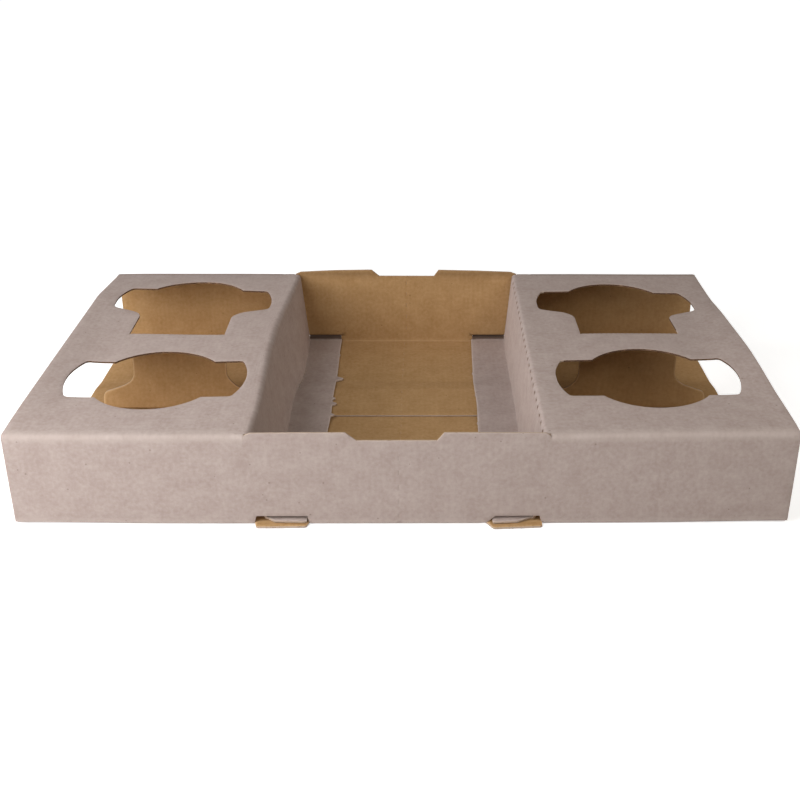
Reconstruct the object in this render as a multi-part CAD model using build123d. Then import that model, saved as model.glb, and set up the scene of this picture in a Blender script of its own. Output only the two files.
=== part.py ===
# Cup carrier of thin corrugated board, for four cups and a few small things.
# It is one die-cut sheet, folded into a flat sleeve that is open at both ends and glued along
# a seam in its base. The top panel is slit across the middle: its two halves fold down as the
# side walls of an open compartment, and their feet lie on the base, held by tabs in slots.
# Each half has two cup holes. The board cut from a rear hole stays on as a separator, which
# hangs between the front and rear cups and turns back along the base.
# Frame: X along the sleeve, Y from the front wall to the back wall, Z up. The origin is in the
# middle of the base, on the surface that the carrier stands on. Sizes are in millimetres.
from build123d import *
import math
import os

# Board and the way it folds
board = 1.5
crease_radius = 1.0
layer_gap = 0.25
die_kerf = 0.3

# Sleeve
sleeve_length = 420.0
sleeve_depth = 240.0
sleeve_height = 55.0

# Bow of the cup panels' free ends, which stand up between the walls at the open ends
bow_run = 90.0
bow_hem = 2.5
left_bow_rise = 4.5
left_bow_start_y = -113.0
left_bow_peak_y = 62.0
left_bow_end_y = 114.0
right_bow_rise = 5.1
right_bow_start_y = -114.0
right_bow_peak_y = -21.0
right_bow_end_y = 68.0

# Glued seam in the base: the rear panel lies on the front panel and steps down behind it
seam_edge_y = -1.0
seam_width = 38.0
seam_step_run = 14.0
seam_step_radius = 4.0

# Compartment between the two halves of the top panel
compartment_width = 155.0
wall_lean = 5.0
feet_spacing = 95.0
wall_end_clearance = 1.0
foot_rise_run = 12.0
slit_overrun = 0.6

# Cut edges of the front and back walls along the compartment
front_rim_height = 57.2
back_rim_height = 57.0
rim_corner_run = 2.5

# Tabs at both ends of the feet, cut from a notch in each rim
tab_root_width = 21.5
tab_tip_width = 17.0
tab_length = 4.7
centre_strip_width = 8.5

# Slots for the tabs in the bottom folds, each with the lip that was cut from it
slot_inner_play = 0.8
slot_outer_play = 4.7
slot_flare = 2.4
slot_height = 5.3
lip_reach = 3.8

# Cup holes: a circle with an ear at each side, whose ends lie on a larger circle
cup_hole_radius = 37.75
ear_circle_radius = 52.1
ear_width = 46.2
ear_corner_radius = 3.0
front_hole_y = -51.5
rear_hole_y = 60.6

# Cup separator, cut from the rear hole and hinged at its front edge. The rear hole's ears widen
# towards the neck, so their lower edges slope.
hinge_y = 12.6
neck_width = 62.6
ear_drop = 8.0
ear_root_drop = 15.5
ear_lower_corner_radius = 2.0
neck_fillet_radius = 12.0

# Perforations along the middle of the walls and the base, and along the compartment's folds
perforation_pitch = 9.0
perforation_length = 3.0
perforation_width = 0.3
perforation_margin = 5.0

# Levels and places worked out from the sizes above
half_length = sleeve_length / 2
half_depth = sleeve_depth / 2
fold_radius = crease_radius + board
half_fold_run = (crease_radius + board / 2) * math.pi / 4
mid_wall_z = sleeve_height / 2
seam_end_y = seam_edge_y + seam_width
step_end_y = seam_end_y + seam_step_run
compartment_half = compartment_width / 2
foot_edge_x = feet_spacing / 2
panel_edge_x = compartment_half + fold_radius + slit_overrun
wall_end_y = half_depth - board - wall_end_clearance
low_foot_z = board + layer_gap
high_foot_z = 2 * board + layer_gap
hole_x = (compartment_half + half_length) / 2
hinge_start_y = hinge_y - fold_radius
hinge_crease_y = hinge_start_y + half_fold_run
hem_y = half_depth - fold_radius - bow_hem
bow_start_x = half_length - bow_run
crease_angle = math.pi / 2 - math.atan(wall_lean / sleeve_height)


def board_section(points, radii):
    """Section of the board: its outer face follows the points, its inner face is on their right."""
    outer_face = FilletPolyline(*points, radius=radii)
    return make_face(offset(outer_face, amount=board, side=Side.RIGHT))


def along_x(section, start, end):
    """Solid of a section in Y and Z, between two places along X."""
    return extrude(Plane.YZ.offset(start) * section, amount=end - start)


def both_ends(shape):
    """A shape at the right-hand end and its mirror image at the left-hand end."""
    return [shape, mirror(shape, about=Plane.YZ)]


def base_and_walls():
    """Base with its glued seam, the bottom folds and the lower halves of the two walls."""
    front = board_section(
        [(seam_end_y, 0), (-half_depth, 0), (-half_depth, mid_wall_z)],
        [fold_radius],
    )
    back = board_section(
        [
            (half_depth, mid_wall_z),
            (half_depth, 0),
            (step_end_y, 0),
            (seam_end_y, board),
            (seam_edge_y, board),
        ],
        [fold_radius, seam_step_radius, seam_step_radius],
    )
    return along_x(front, -half_length, half_length) + along_x(back, -half_length, half_length)


def bowed_section(x, rise, start_y, peak_y, end_y):
    """Section of a cup panel between its hems at one place along X, with its bow of a given rise."""

    def edge(level):
        bow = Spline(
            (start_y, level), (peak_y, level + rise), (end_y, level), tangents=[(1, 0), (1, 0)]
        )
        return Line((-hem_y, level), (start_y, level)) + bow + Line((end_y, level), (hem_y, level))

    low, high = sleeve_height - board, sleeve_height
    sides = Line((-hem_y, low), (-hem_y, high)) + Line((hem_y, high), (hem_y, low))
    return Plane.YZ.offset(x) * make_face(edge(high) + edge(low) + sides)


def cup_panel(rise, start_y, peak_y, end_y):
    """Half of the top panel on the right, with its folds to the walls and its bowed free end."""
    arch = board_section(
        [
            (-half_depth, mid_wall_z),
            (-half_depth, sleeve_height),
            (half_depth, sleeve_height),
            (half_depth, mid_wall_z),
        ],
        [fold_radius, fold_radius],
    )
    front_hem = board_section(
        [(-half_depth, mid_wall_z), (-half_depth, sleeve_height), (-hem_y, sleeve_height)],
        [fold_radius],
    )
    back_hem = board_section(
        [(hem_y, sleeve_height), (half_depth, sleeve_height), (half_depth, mid_wall_z)],
        [fold_radius],
    )
    panel = along_x(arch, panel_edge_x, bow_start_x)
    for hem in (front_hem, back_hem):
        panel += along_x(hem, bow_start_x, half_length)
    stations = [
        bowed_section(bow_start_x + share * bow_run, rise * share**3, start_y, peak_y, end_y)
        for share in (0, 0.4, 0.7, 0.88, 1)
    ]
    return panel + loft(stations, ruled=True)


def perforations():
    """Slits along the middle of the base and the walls, and along the right-hand top fold."""
    base_run = 2 * (half_depth - fold_radius - perforation_margin)
    wall_run = front_rim_height - tab_length - fold_radius - 2 * perforation_margin
    fold_run = 2 * (wall_end_y - perforation_margin)
    wall_z = fold_radius + perforation_margin + wall_run / 2
    base_count, wall_count, fold_count = (
        int(run // perforation_pitch) for run in (base_run, wall_run, fold_run)
    )
    slit = Box(perforation_width, perforation_length, 6 * board)
    upright = Box(perforation_width, 2 * board, perforation_length)
    half_bend = math.degrees(crease_angle) / 2
    across_fold = (
        Pos(compartment_half + fold_radius, 0, sleeve_height - fold_radius)
        * Rot(0, -half_bend, 0)
        * Pos(0, 0, crease_radius + board / 2)
    )
    fold_slit = across_fold * Box(perforation_width, perforation_length, 2 * board)
    cutters = [Pos(0, y, board) * slit for y in spread(base_count)]
    for y in (-half_depth, half_depth):
        cutters += [Pos(0, y, wall_z + z) * upright for z in spread(wall_count)]
    for y in spread(fold_count):
        cutters += both_ends(Pos(0, y, 0) * fold_slit)
    return cutters


def spread(count):
    """Places of a row of perforations about its middle."""
    return [(i - (count - 1) / 2) * perforation_pitch for i in range(count)]


def rim(outer_y, inward, rim_height):
    """Upper half of a wall along the compartment, with its cut edge and the notch in it."""
    notch_top = centre_strip_width / 2 + tab_root_width
    notch_floor = centre_strip_width / 2 + tab_tip_width
    straight_end = panel_edge_x - rim_corner_run
    right_side = [
        (notch_floor, rim_height - tab_length),
        (notch_top, rim_height),
        (straight_end, rim_height),
        (panel_edge_x, sleeve_height - fold_radius),
        (panel_edge_x, mid_wall_z),
    ]
    left_side = [(-x, z) for x, z in reversed(right_side)]
    outline = make_face(Polyline(*right_side, *left_side, close=True))
    return extrude(Plane.XZ.offset(-outer_y) * outline, amount=-inward * board)


def ears(half_width):
    """Strip across a cup hole, with its ends on the ear circle."""
    return Rectangle(2 * ear_circle_radius, 2 * half_width) & Circle(ear_circle_radius)


def sloped_ears():
    """Strip across a rear hole, whose lower edges slope up from the neck to the ear circle."""
    outline = Polyline(
        (ear_circle_radius, ear_width / 2),
        (ear_circle_radius, -ear_drop),
        (neck_width / 2, -ear_root_drop),
        (-neck_width / 2, -ear_root_drop),
        (-ear_circle_radius, -ear_drop),
        (-ear_circle_radius, ear_width / 2),
        close=True,
    )
    strip = make_face(outline) & Circle(ear_circle_radius)
    upper = [v for v in strip.vertices() if v.Y > 0]
    strip = fillet(upper, ear_corner_radius)
    lower = [v for v in strip.vertices() if v.Y < 0 and abs(v.X) > neck_width / 2 + board]
    return fillet(lower, ear_lower_corner_radius)


def corners_near(sketch, x, y):
    """Corners of a sketch at a place and at its mirror image across the middle."""
    near = 0.5 * board
    return [v for v in sketch.vertices() if abs(abs(v.X) - x) < near and abs(v.Y - y) < near]


def front_cutout():
    """Outline of a front cup hole about its centre."""
    return Circle(cup_hole_radius) + fillet(ears(ear_width / 2).vertices(), ear_corner_radius)


def rear_cutout(neck_reach):
    """Outline of a rear cup hole about its centre, with its neck to a distance towards the hinge."""
    far_half = Circle(cup_hole_radius) & Pos(0, cup_hole_radius / 2) * Rectangle(
        2 * cup_hole_radius, cup_hole_radius
    )
    neck = Pos(0, -neck_reach / 2) * Rectangle(neck_width, neck_reach)
    outline = sloped_ears() + far_half + neck
    return fillet(corners_near(outline, neck_width / 2, -ear_root_drop), neck_fillet_radius)


def cup_hole_cutters():
    """Solids that cut the front and rear holes through the right-hand panel."""
    cut_start_z = sleeve_height - 2 * board
    cut_run = 3 * board + max(left_bow_rise, right_bow_rise)
    front = Pos(hole_x, front_hole_y, cut_start_z) * front_cutout()
    rear = Pos(hole_x, rear_hole_y, cut_start_z) * rear_cutout(rear_hole_y - hinge_start_y)
    return [extrude(front, cut_run), extrude(rear, cut_run)]


def wall_section(y, foot_z):
    """Section across the right-hand compartment wall and its foot, at one place along Y."""
    foot_top = foot_z + board
    lean_here = wall_lean * (sleeve_height - foot_top) / sleeve_height
    section = board_section(
        [
            (-panel_edge_x, sleeve_height),
            (-compartment_half, sleeve_height),
            (lean_here - compartment_half, foot_top),
            (-foot_edge_x, foot_top),
        ],
        [fold_radius, crease_radius],
    )
    return Plane(origin=(0, y, 0), x_dir=(-1, 0, 0), z_dir=(0, 1, 0)) * section


def compartment_wall():
    """Right-hand half of the top panel where it folds down, with its foot over the seam."""
    stations = [
        (-wall_end_y, low_foot_z),
        (seam_edge_y - foot_rise_run, low_foot_z),
        (seam_edge_y - layer_gap, high_foot_z),
        (seam_end_y, high_foot_z),
        (step_end_y, low_foot_z),
        (wall_end_y, low_foot_z),
    ]
    return loft([wall_section(y, foot_z) for y, foot_z in stations], ruled=True)


def tab(y_sign):
    """Tab at one end of the right-hand foot, which lies on the lip of its slot."""
    outline = Polyline(
        (foot_edge_x, y_sign * wall_end_y),
        (foot_edge_x + tab_root_width, y_sign * wall_end_y),
        (foot_edge_x + tab_tip_width, y_sign * (wall_end_y + tab_length)),
        (foot_edge_x, y_sign * (wall_end_y + tab_length)),
        close=True,
    )
    return extrude(Pos(0, 0, low_foot_z) * make_face(outline), amount=board, dir=(0, 0, 1))


def slot_cutter(y_sign):
    """Opening of a slot in the bottom fold and the wall above it, at the right-hand foot."""
    tip_inner = foot_edge_x - slot_inner_play
    tip_outer = foot_edge_x + tab_root_width + slot_outer_play
    outline = Polyline(
        (tip_inner - slot_flare, -board),
        (tip_outer + slot_flare, -board),
        (tip_outer + slot_flare, 0),
        (tip_outer, slot_height),
        (tip_inner, slot_height),
        (tip_inner - slot_flare, 0),
        close=True,
    )
    opening = Plane.XZ.offset(half_depth + board) * make_face(outline)
    cutter = extrude(opening, amount=-(board + fold_radius))
    return cutter if y_sign < 0 else mirror(cutter, about=Plane.XZ)


def lip(y_sign):
    """Lip that was cut from a slot and stays flat with the base."""
    root_y = half_depth - fold_radius
    tip_inner = foot_edge_x - slot_inner_play
    tip_outer = foot_edge_x + tab_root_width + slot_outer_play
    outline = Polyline(
        (tip_inner - slot_flare, y_sign * root_y),
        (tip_outer + slot_flare, y_sign * root_y),
        (tip_outer, y_sign * (half_depth + lip_reach)),
        (tip_inner, y_sign * (half_depth + lip_reach)),
        close=True,
    )
    return extrude(make_face(outline), amount=board, dir=(0, 0, 1))


def cup_separator():
    """Board from the right-hand rear hole, folded down at its hinge and back along the base."""
    foot_top = high_foot_z + board
    upright_run = sleeve_height - fold_radius - (high_foot_z + fold_radius)
    run_to_foot = upright_run + 3 * half_fold_run
    centre_run = rear_hole_y - hinge_crease_y
    foot_start_y = hinge_y + crease_radius
    foot_end_y = foot_start_y + centre_run + cup_hole_radius - run_to_foot
    folded = board_section(
        [
            (hinge_start_y - fold_radius, sleeve_height),
            (hinge_y, sleeve_height),
            (hinge_y, foot_top),
            (foot_end_y, foot_top),
        ],
        [fold_radius, crease_radius],
    )
    strip = along_x(folded, hole_x - ear_circle_radius, hole_x + ear_circle_radius)
    neck_reach = centre_run + 3 * fold_radius
    flap = Pos(0, centre_run) * offset(rear_cutout(neck_reach), amount=-die_kerf)
    hanging = Plane(
        origin=(hole_x, foot_start_y, sleeve_height - fold_radius + half_fold_run),
        x_dir=(1, 0, 0),
        z_dir=(0, 1, 0),
    )
    lying = Plane(origin=(hole_x, foot_start_y - run_to_foot, high_foot_z - layer_gap))
    upright = extrude(hanging * flap, amount=-(crease_radius + 3 * fold_radius))
    foot = extrude(lying * flap, amount=board + 2 * layer_gap)
    return strip & (upright + foot)


def carrier():
    """The whole folded sheet."""
    sheet = base_and_walls()
    sheet += rim(-half_depth, 1, front_rim_height) + rim(half_depth, -1, back_rim_height)
    sheet += cup_panel(right_bow_rise, right_bow_start_y, right_bow_peak_y, right_bow_end_y)
    left_panel = cup_panel(left_bow_rise, left_bow_start_y, left_bow_peak_y, left_bow_end_y)
    sheet += mirror(left_panel, about=Plane.YZ)
    for cutter in [*cup_hole_cutters(), slot_cutter(-1), slot_cutter(1)]:
        for cut in both_ends(cutter):
            sheet -= cut
    for piece in [compartment_wall(), tab(-1), tab(1), lip(-1), lip(1), cup_separator()]:
        for copy in both_ends(piece):
            sheet += copy
    return sheet - perforations()


os.makedirs("parts", exist_ok=True)
cup_carrier = carrier().solid()
cup_carrier.label = "cup_carrier"
print("cup_carrier", cup_carrier.volume, cup_carrier.bounding_box())
export_step(cup_carrier, "parts/cup_carrier.step")
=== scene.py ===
"""Cup carrier of folded corrugated board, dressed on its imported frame.

The sheet is made as the real one is: panels are cut flat, with their holes, slots, tabs and
perforations, and then folded. A fold is a function from the flat blank to space, worked out for
whole arrays of points. The panels are joined along their folds and get the board's thickness.
Lengths are in millimetres until a mesh is written, and every object is in metres.
"""

import logging
import math
from collections.abc import Callable
from dataclasses import dataclass, field
from enum import Enum

import bpy
import numpy as np
from mathutils import Matrix, Vector
from mathutils.geometry import delaunay_2d_cdt


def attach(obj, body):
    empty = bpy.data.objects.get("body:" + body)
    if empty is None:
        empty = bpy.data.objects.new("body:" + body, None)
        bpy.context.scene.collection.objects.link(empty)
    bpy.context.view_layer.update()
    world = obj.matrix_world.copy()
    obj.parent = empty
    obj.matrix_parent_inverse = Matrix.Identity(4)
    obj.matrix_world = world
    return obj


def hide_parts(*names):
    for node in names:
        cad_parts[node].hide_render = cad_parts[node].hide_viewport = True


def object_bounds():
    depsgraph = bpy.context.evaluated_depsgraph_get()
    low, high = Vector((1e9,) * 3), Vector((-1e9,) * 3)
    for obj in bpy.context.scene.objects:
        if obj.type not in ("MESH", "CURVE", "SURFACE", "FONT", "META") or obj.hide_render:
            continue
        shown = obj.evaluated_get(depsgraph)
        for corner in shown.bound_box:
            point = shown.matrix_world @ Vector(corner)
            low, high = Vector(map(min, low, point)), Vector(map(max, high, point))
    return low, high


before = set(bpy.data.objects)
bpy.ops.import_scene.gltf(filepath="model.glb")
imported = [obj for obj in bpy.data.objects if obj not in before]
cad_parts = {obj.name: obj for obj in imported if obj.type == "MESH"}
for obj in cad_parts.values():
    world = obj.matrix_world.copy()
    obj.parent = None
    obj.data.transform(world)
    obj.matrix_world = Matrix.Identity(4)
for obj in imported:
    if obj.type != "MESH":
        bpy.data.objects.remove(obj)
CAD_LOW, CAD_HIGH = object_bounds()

LOG = logging.getLogger("cup_carrier")
MM = 0.001
Array = np.ndarray


class Side(Enum):
    """The two cup panels, by the sign of their X."""

    LEFT = -1
    RIGHT = 1


class Face(Enum):
    """What a face of the board shows, by its material's place on the mesh."""

    OUTER = 0
    INNER = 1
    CUT = 2
    OPEN = 3


@dataclass(frozen=True)
class Board:
    """The corrugated board.

    thickness: over both liners. crease, tight_crease: inside radii of a soft fold and of one that
    is pressed flat. pinch: share of the thickness that a cut edge keeps. bulge: how far the
    middle of a cut edge stands out. flute_pitch: from one crest of the fluting to the next.
    """

    thickness: float = 1.5
    crease: float = 1.0
    tight_crease: float = 0.3
    pinch: float = 0.72
    bulge: float = 0.08
    flute_pitch: float = 3.3

    @property
    def fold_radius(self) -> float:
        """Outside radius of a soft fold."""
        return self.crease + self.thickness

    @property
    def tight_radius(self) -> float:
        """Outside radius of a pressed fold."""
        return self.tight_crease + self.thickness

    @property
    def middle_radius(self) -> float:
        """Radius of the middle of the board round a soft fold."""
        return self.crease + self.thickness / 2

    @property
    def tight_middle(self) -> float:
        """Radius of the middle of the board round a pressed fold."""
        return self.tight_crease + self.thickness / 2


@dataclass(frozen=True)
class Stretch:
    """A stretch of board along a section.

    flat: its length on the blank's grid. length: its real length, which may differ from place
    to place along the fold. turn: how far it bends, in radians, anticlockwise.
    """

    flat: float
    length: float | Array
    turn: float | Array = 0.0


@dataclass
class FoldPath:
    """Middle of the board along a section, made of straight and bent stretches end to end."""

    start: tuple[float | Array, float | Array]
    heading: float
    stretches: list[Stretch]

    def at(self, s: Array) -> tuple[Array, Array, Array]:
        """Follows the board to a distance from its start.

        An arc of length L that turns by T has the chord L sin(T/2)/(T/2), at the heading plus
        T/2. The place is the sum of the chords of the stretches passed so far.

        Args:
            s: distances along the flat blank.

        Returns:
            The two coordinates in the section's plane, and the heading in radians.
        """
        p = self.start[0] + np.zeros_like(s)
        q = self.start[1] + np.zeros_like(s)
        heading = self.heading + np.zeros_like(s)
        begin = 0.0
        for number, stretch in enumerate(self.stretches):
            run = np.maximum(s - begin, 0.0)
            if number < len(self.stretches) - 1:
                run = np.minimum(run, stretch.flat)
            share = run / stretch.flat
            turned = stretch.turn * share
            chord = stretch.length * share * np.sinc(turned / math.tau)
            p = p + chord * np.cos(heading + turned / 2)
            q = q + chord * np.sin(heading + turned / 2)
            heading = heading + turned
            begin += stretch.flat
        return p, q, heading

    def breaks(self) -> Array:
        """Distances along the flat blank at which the stretches begin, and the end."""
        return np.concatenate([[0.0], np.cumsum([stretch.flat for stretch in self.stretches])])

    def lines(self, spacing: float, bend_steps: int) -> Array:
        """Grid lines across the path: even steps on the straight stretches, fine ones in bends.

        Args:
            spacing: the largest step on a straight stretch.
            bend_steps: the number of steps round a bend.

        Returns:
            Distances along the flat blank, rising.
        """
        breaks = self.breaks()
        pieces = []
        for stretch, low, high in zip(self.stretches, breaks, breaks[1:]):
            bent = bool(np.any(np.asarray(stretch.turn) != 0.0))
            steps = bend_steps if bent else max(1, math.ceil((high - low) / spacing))
            pieces.append(np.linspace(low, high, steps, endpoint=False))
        return np.concatenate([*pieces, [breaks[-1]]])


def smooth_knots(x: Array, knots: list[tuple[float, float]], blur: float) -> Array:
    """Values along a line of straight runs between knots, rounded at the knots.

    The line is averaged over a window of twice the blur, which turns each corner into a curve.

    Args:
        x: where the values are wanted.
        knots: the line's corners, as place and value.
        blur: half the window's width.

    Returns:
        One value for each x.
    """
    places, values = np.array(knots, float).T
    shifts = np.linspace(-blur, blur, 9)
    return np.mean([np.interp(x + shift, places, values) for shift in shifts], axis=0)


def ramp(x: Array, low: float, high: float) -> Array:
    """Rises evenly from 0 at low to 1 at high, and is level on both sides."""
    return np.clip((x - low) / (high - low), 0.0, 1.0)


def smooth_step(x: Array, low: float, high: float) -> Array:
    """Rises from 0 at low to 1 at high as 3t^2 - 2t^3."""
    t = ramp(x, low, high)
    return t * t * (3 - 2 * t)


def run_between(start: tuple[float, float], end: tuple[float, float], step: float,
                columns: Array | None = None, rows: Array | None = None) -> Array:
    """Points along a straight cut, from its start up to but not including its end.

    A cut along a grid direction takes its points from the grid's lines, so that the rows of a
    fold reach it. Any other cut is divided evenly.

    Args:
        start: first point.
        end: the point that the next cut starts from.
        step: largest distance between points on a cut that follows no grid line.
        columns: the grid's values across the blank.
        rows: the grid's values along the blank.

    Returns:
        Points, one to a row.
    """
    first, last = np.array(start, float), np.array(end, float)
    for axis, lines in ((1, rows), (0, columns)):
        other = 1 - axis
        if lines is not None and abs(first[other] - last[other]) < 1e-9:
            low, high = sorted((first[axis], last[axis]))
            inside = lines[(lines > low + 0.25) & (lines < high - 0.25)]
            if last[axis] < first[axis]:
                inside = inside[::-1]
            along = np.concatenate([[first[axis]], inside])
            points = np.empty((len(along), 2))
            points[:, axis], points[:, other] = along, first[other]
            return points
    count = max(1, math.ceil(np.linalg.norm(last - first) / step))
    share = np.arange(count)[:, None] / count
    return first + share * (last - first)


def closed_cut(corners: list[tuple[float, float]], step: float,
               columns: Array | None = None, rows: Array | None = None) -> Array:
    """Points round a closed cut with straight sides between its corners."""
    sides = zip(corners, corners[1:] + corners[:1])
    return np.vstack([run_between(a, b, step, columns, rows) for a, b in sides])


def inside_cuts(points: Array, cuts: list[Array]) -> Array:
    """Tells which points lie in the board, by the even-odd rule over all its cuts.

    A ray from the point crosses the closed cuts an odd number of times if it starts on board.

    Args:
        points: places to test.
        cuts: the outline and the holes, as closed rows of points.

    Returns:
        One truth value for each point.
    """
    start = np.vstack(cuts)
    end = np.vstack([np.roll(cut, -1, axis=0) for cut in cuts])
    slope = (end[:, 0] - start[:, 0]) / np.where(end[:, 1] == start[:, 1], 1.0, end[:, 1] - start[:, 1])
    inside = np.zeros(len(points), bool)
    for block in np.array_split(np.arange(len(points)), max(1, len(points) // 4000)):
        x, y = points[block, 0, None], points[block, 1, None]
        spans = (start[:, 1] > y) != (end[:, 1] > y)
        crossed = spans & (x < start[:, 0] + slope * (y - start[:, 1]))
        inside[block] = crossed.sum(axis=1) % 2 == 1
    return inside


def clearance(points: Array, cuts: list[Array]) -> Array:
    """Distance from each point to the nearest point of the cuts.

    Args:
        points: places to measure from.
        cuts: rows of points.

    Returns:
        One distance for each point.
    """
    edge = np.vstack(cuts)
    nearest = np.empty(len(points))
    for block in np.array_split(np.arange(len(points)), max(1, len(points) // 2000)):
        apart = points[block, None, :] - edge[None, :, :]
        nearest[block] = np.sqrt((apart**2).sum(axis=2).min(axis=1))
    return nearest


@dataclass
class Panel:
    """A panel of the blank: its cuts, its grid and its fold.

    name: for the log. cuts: closed rows of points in the panel's coordinates, the outline and the
    holes alike. columns, rows: the grid's lines across and along the panel. fold: gives the middle
    of the board in space. blank: gives the place on the whole blank. flipped: true if a triangle
    that runs anticlockwise in the panel's coordinates shows its inner face. margin: from a cut to
    the points beside it.
    """

    name: str
    cuts: list[Array]
    columns: Array
    rows: Array
    fold: Callable[[Array, Array], Array]
    blank: Callable[[Array], Array]
    flipped: bool = False
    margin: float = 1.2

    def margin_points(self) -> Array:
        """Points a little inside each cut, which keep the pinch of a cut edge narrow.

        Each cut's point moves square to the line between its neighbours, to both sides, and the
        one that lands on board is kept.

        Returns:
            Points, one to a row.
        """
        found = []
        for cut in self.cuts:
            along = np.roll(cut, -1, axis=0) - np.roll(cut, 1, axis=0)
            along /= np.maximum(np.linalg.norm(along, axis=1, keepdims=True), 1e-9)
            across = np.column_stack([-along[:, 1], along[:, 0]]) * self.margin
            found += [cut + across, cut - across]
        points = np.vstack(found)
        points = points[inside_cuts(points, self.cuts)]
        return points[clearance(points, self.cuts) > 0.8 * self.margin]

    def grid_points(self) -> Array:
        """Finds the grid's points that lie on board and clear of the cuts.

        A point needs a share of the grid's step as its distance from them, within limits.

        Returns:
            Points, one to a row.
        """
        share, least, most = 0.45, 0.3, 1.5 * self.margin
        across, along = np.meshgrid(self.columns, self.rows)
        gap = np.minimum.outer(step_at(self.rows), step_at(self.columns))
        points = np.column_stack([across.ravel(), along.ravel()])
        needed = np.clip(share * gap.ravel(), least, most)
        inside = inside_cuts(points, self.cuts)
        points, needed = points[inside], needed[inside]
        return points[clearance(points, self.cuts) > needed]

    def triangulate(self) -> tuple[Array, Array]:
        """Joins the cuts, their margins and the grid into triangles.

        Returns:
            Points in blank coordinates, and triangles that run anticlockwise there.
        """
        points = np.vstack([*self.cuts, self.margin_points(), self.grid_points()])
        edges, first = [], 0
        for cut in self.cuts:
            ring = np.arange(first, first + len(cut))
            edges += np.column_stack([ring, np.roll(ring, -1)]).tolist()
            first += len(cut)
        result = delaunay_2d_cdt([Vector(p) for p in points], edges, [], 0, 1e-7, False)
        flat = np.array([tuple(p) for p in result[0]])
        triangles = np.array([face for face in result[2] if len(face) == 3])
        triangles = triangles[inside_cuts(flat[triangles].mean(axis=1), self.cuts)]
        a, b, c = (flat[triangles[:, k]] for k in range(3))
        ab, ac = b - a, c - a
        area = ab[:, 0] * ac[:, 1] - ab[:, 1] * ac[:, 0]
        triangles[area < 0] = triangles[area < 0][:, ::-1]
        return flat, triangles[np.abs(area) > 1e-9]


def step_at(lines: Array) -> Array:
    """The smaller of the two steps beside each grid line."""
    steps = np.diff(lines)
    return np.minimum(np.concatenate([[steps[0]], steps]), np.concatenate([steps, [steps[-1]]]))


@dataclass(frozen=True)
class Corner:
    """What lies at one corner of the compartment, as distances from the middle along X.

    slit: end of the slit along the panel's fold. rim_end: end of the rim's level edge.
    notch_floor, notch_top: outer ends of the rim's notch. slot_root, slot_tip: the slot's inner
    and outer ends at the fold and at its top. slot_height: its top's height over the underside
    of the base. lip_tip: inner and outer ends of the lip's free edge.
    lip_reach: how far the lip's inner and outer ends stand out from the wall. tab_root, tab_tip:
    the tab's inner and outer ends at the foot and at its free edge. tab_reach: how far its inner
    and outer ends stand out from the foot. tab_lift: how far the tab is pushed up.
    """

    slit: float
    rim_end: float
    notch_floor: float
    notch_top: float
    slot_root: tuple[float, float] = (48.3, 74.0)
    slot_tip: tuple[float, float] = (48.6, 73.7)
    slot_height: float = 6.0
    lip_tip: tuple[float, float] = (47.3, 73.4)
    lip_reach: tuple[float, float] = (4.0, 3.8)
    tab_root: tuple[float, float] = (48.4, 73.9)
    tab_tip: tuple[float, float] = (48.9, 73.2)
    tab_reach: tuple[float, float] = (4.6, 4.6)
    tab_lift: float = 1.5


@dataclass(frozen=True)
class Half:
    """One half of the top panel: its free end, its folds and its holes, as the photo shows them.

    Places along Y are from the middle of the sleeve. side: which half. front, back: corners of
    the compartment. top_fold, foot_fold, foot_edge: distances of the grey face's corners from
    the middle along X. top_radius: radius of the middle of the board round the top fold.
    sway, crown, free_end: how far the panel stands up at the carrier's inner and outer warp line
    and at its free end. hole_x: the holes' middle. ear_reach: how far the holes' inner ears run
    past their circle. neck_in: how much the rear hole is cut narrower at its neck, on the inner
    side. ear_low: how much lower its outer ear's lower edge lies than the inner one's. lean: how
    far the separator turns from upright, in degrees, less than 0 where its foot is in front of
    its hinge. top_dots: the top fold's perforations, as shift from the fold's middle down the
    wall, length and width. foot_dots: places between which the foot's fold is perforated. nibs:
    torn bits on the foot's edge, as place, width and reach.
    """

    side: Side
    front: Corner
    back: Corner
    top_fold: list[tuple[float, float]]
    top_radius: list[tuple[float, float]]
    foot_fold: list[tuple[float, float]]
    foot_edge: list[tuple[float, float]]
    sway: list[tuple[float, float]]
    crown: list[tuple[float, float]]
    free_end: list[tuple[float, float]]
    hole_x: float
    ear_reach: float
    neck_in: float
    ear_low: float
    lean: float
    top_dots: tuple[float, float, float]
    foot_dots: tuple[float, float]
    nibs: list[tuple[float, float, float]]

    def corner(self, front: bool) -> Corner:
        """The corner at the front or at the back."""
        return self.front if front else self.back


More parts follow.
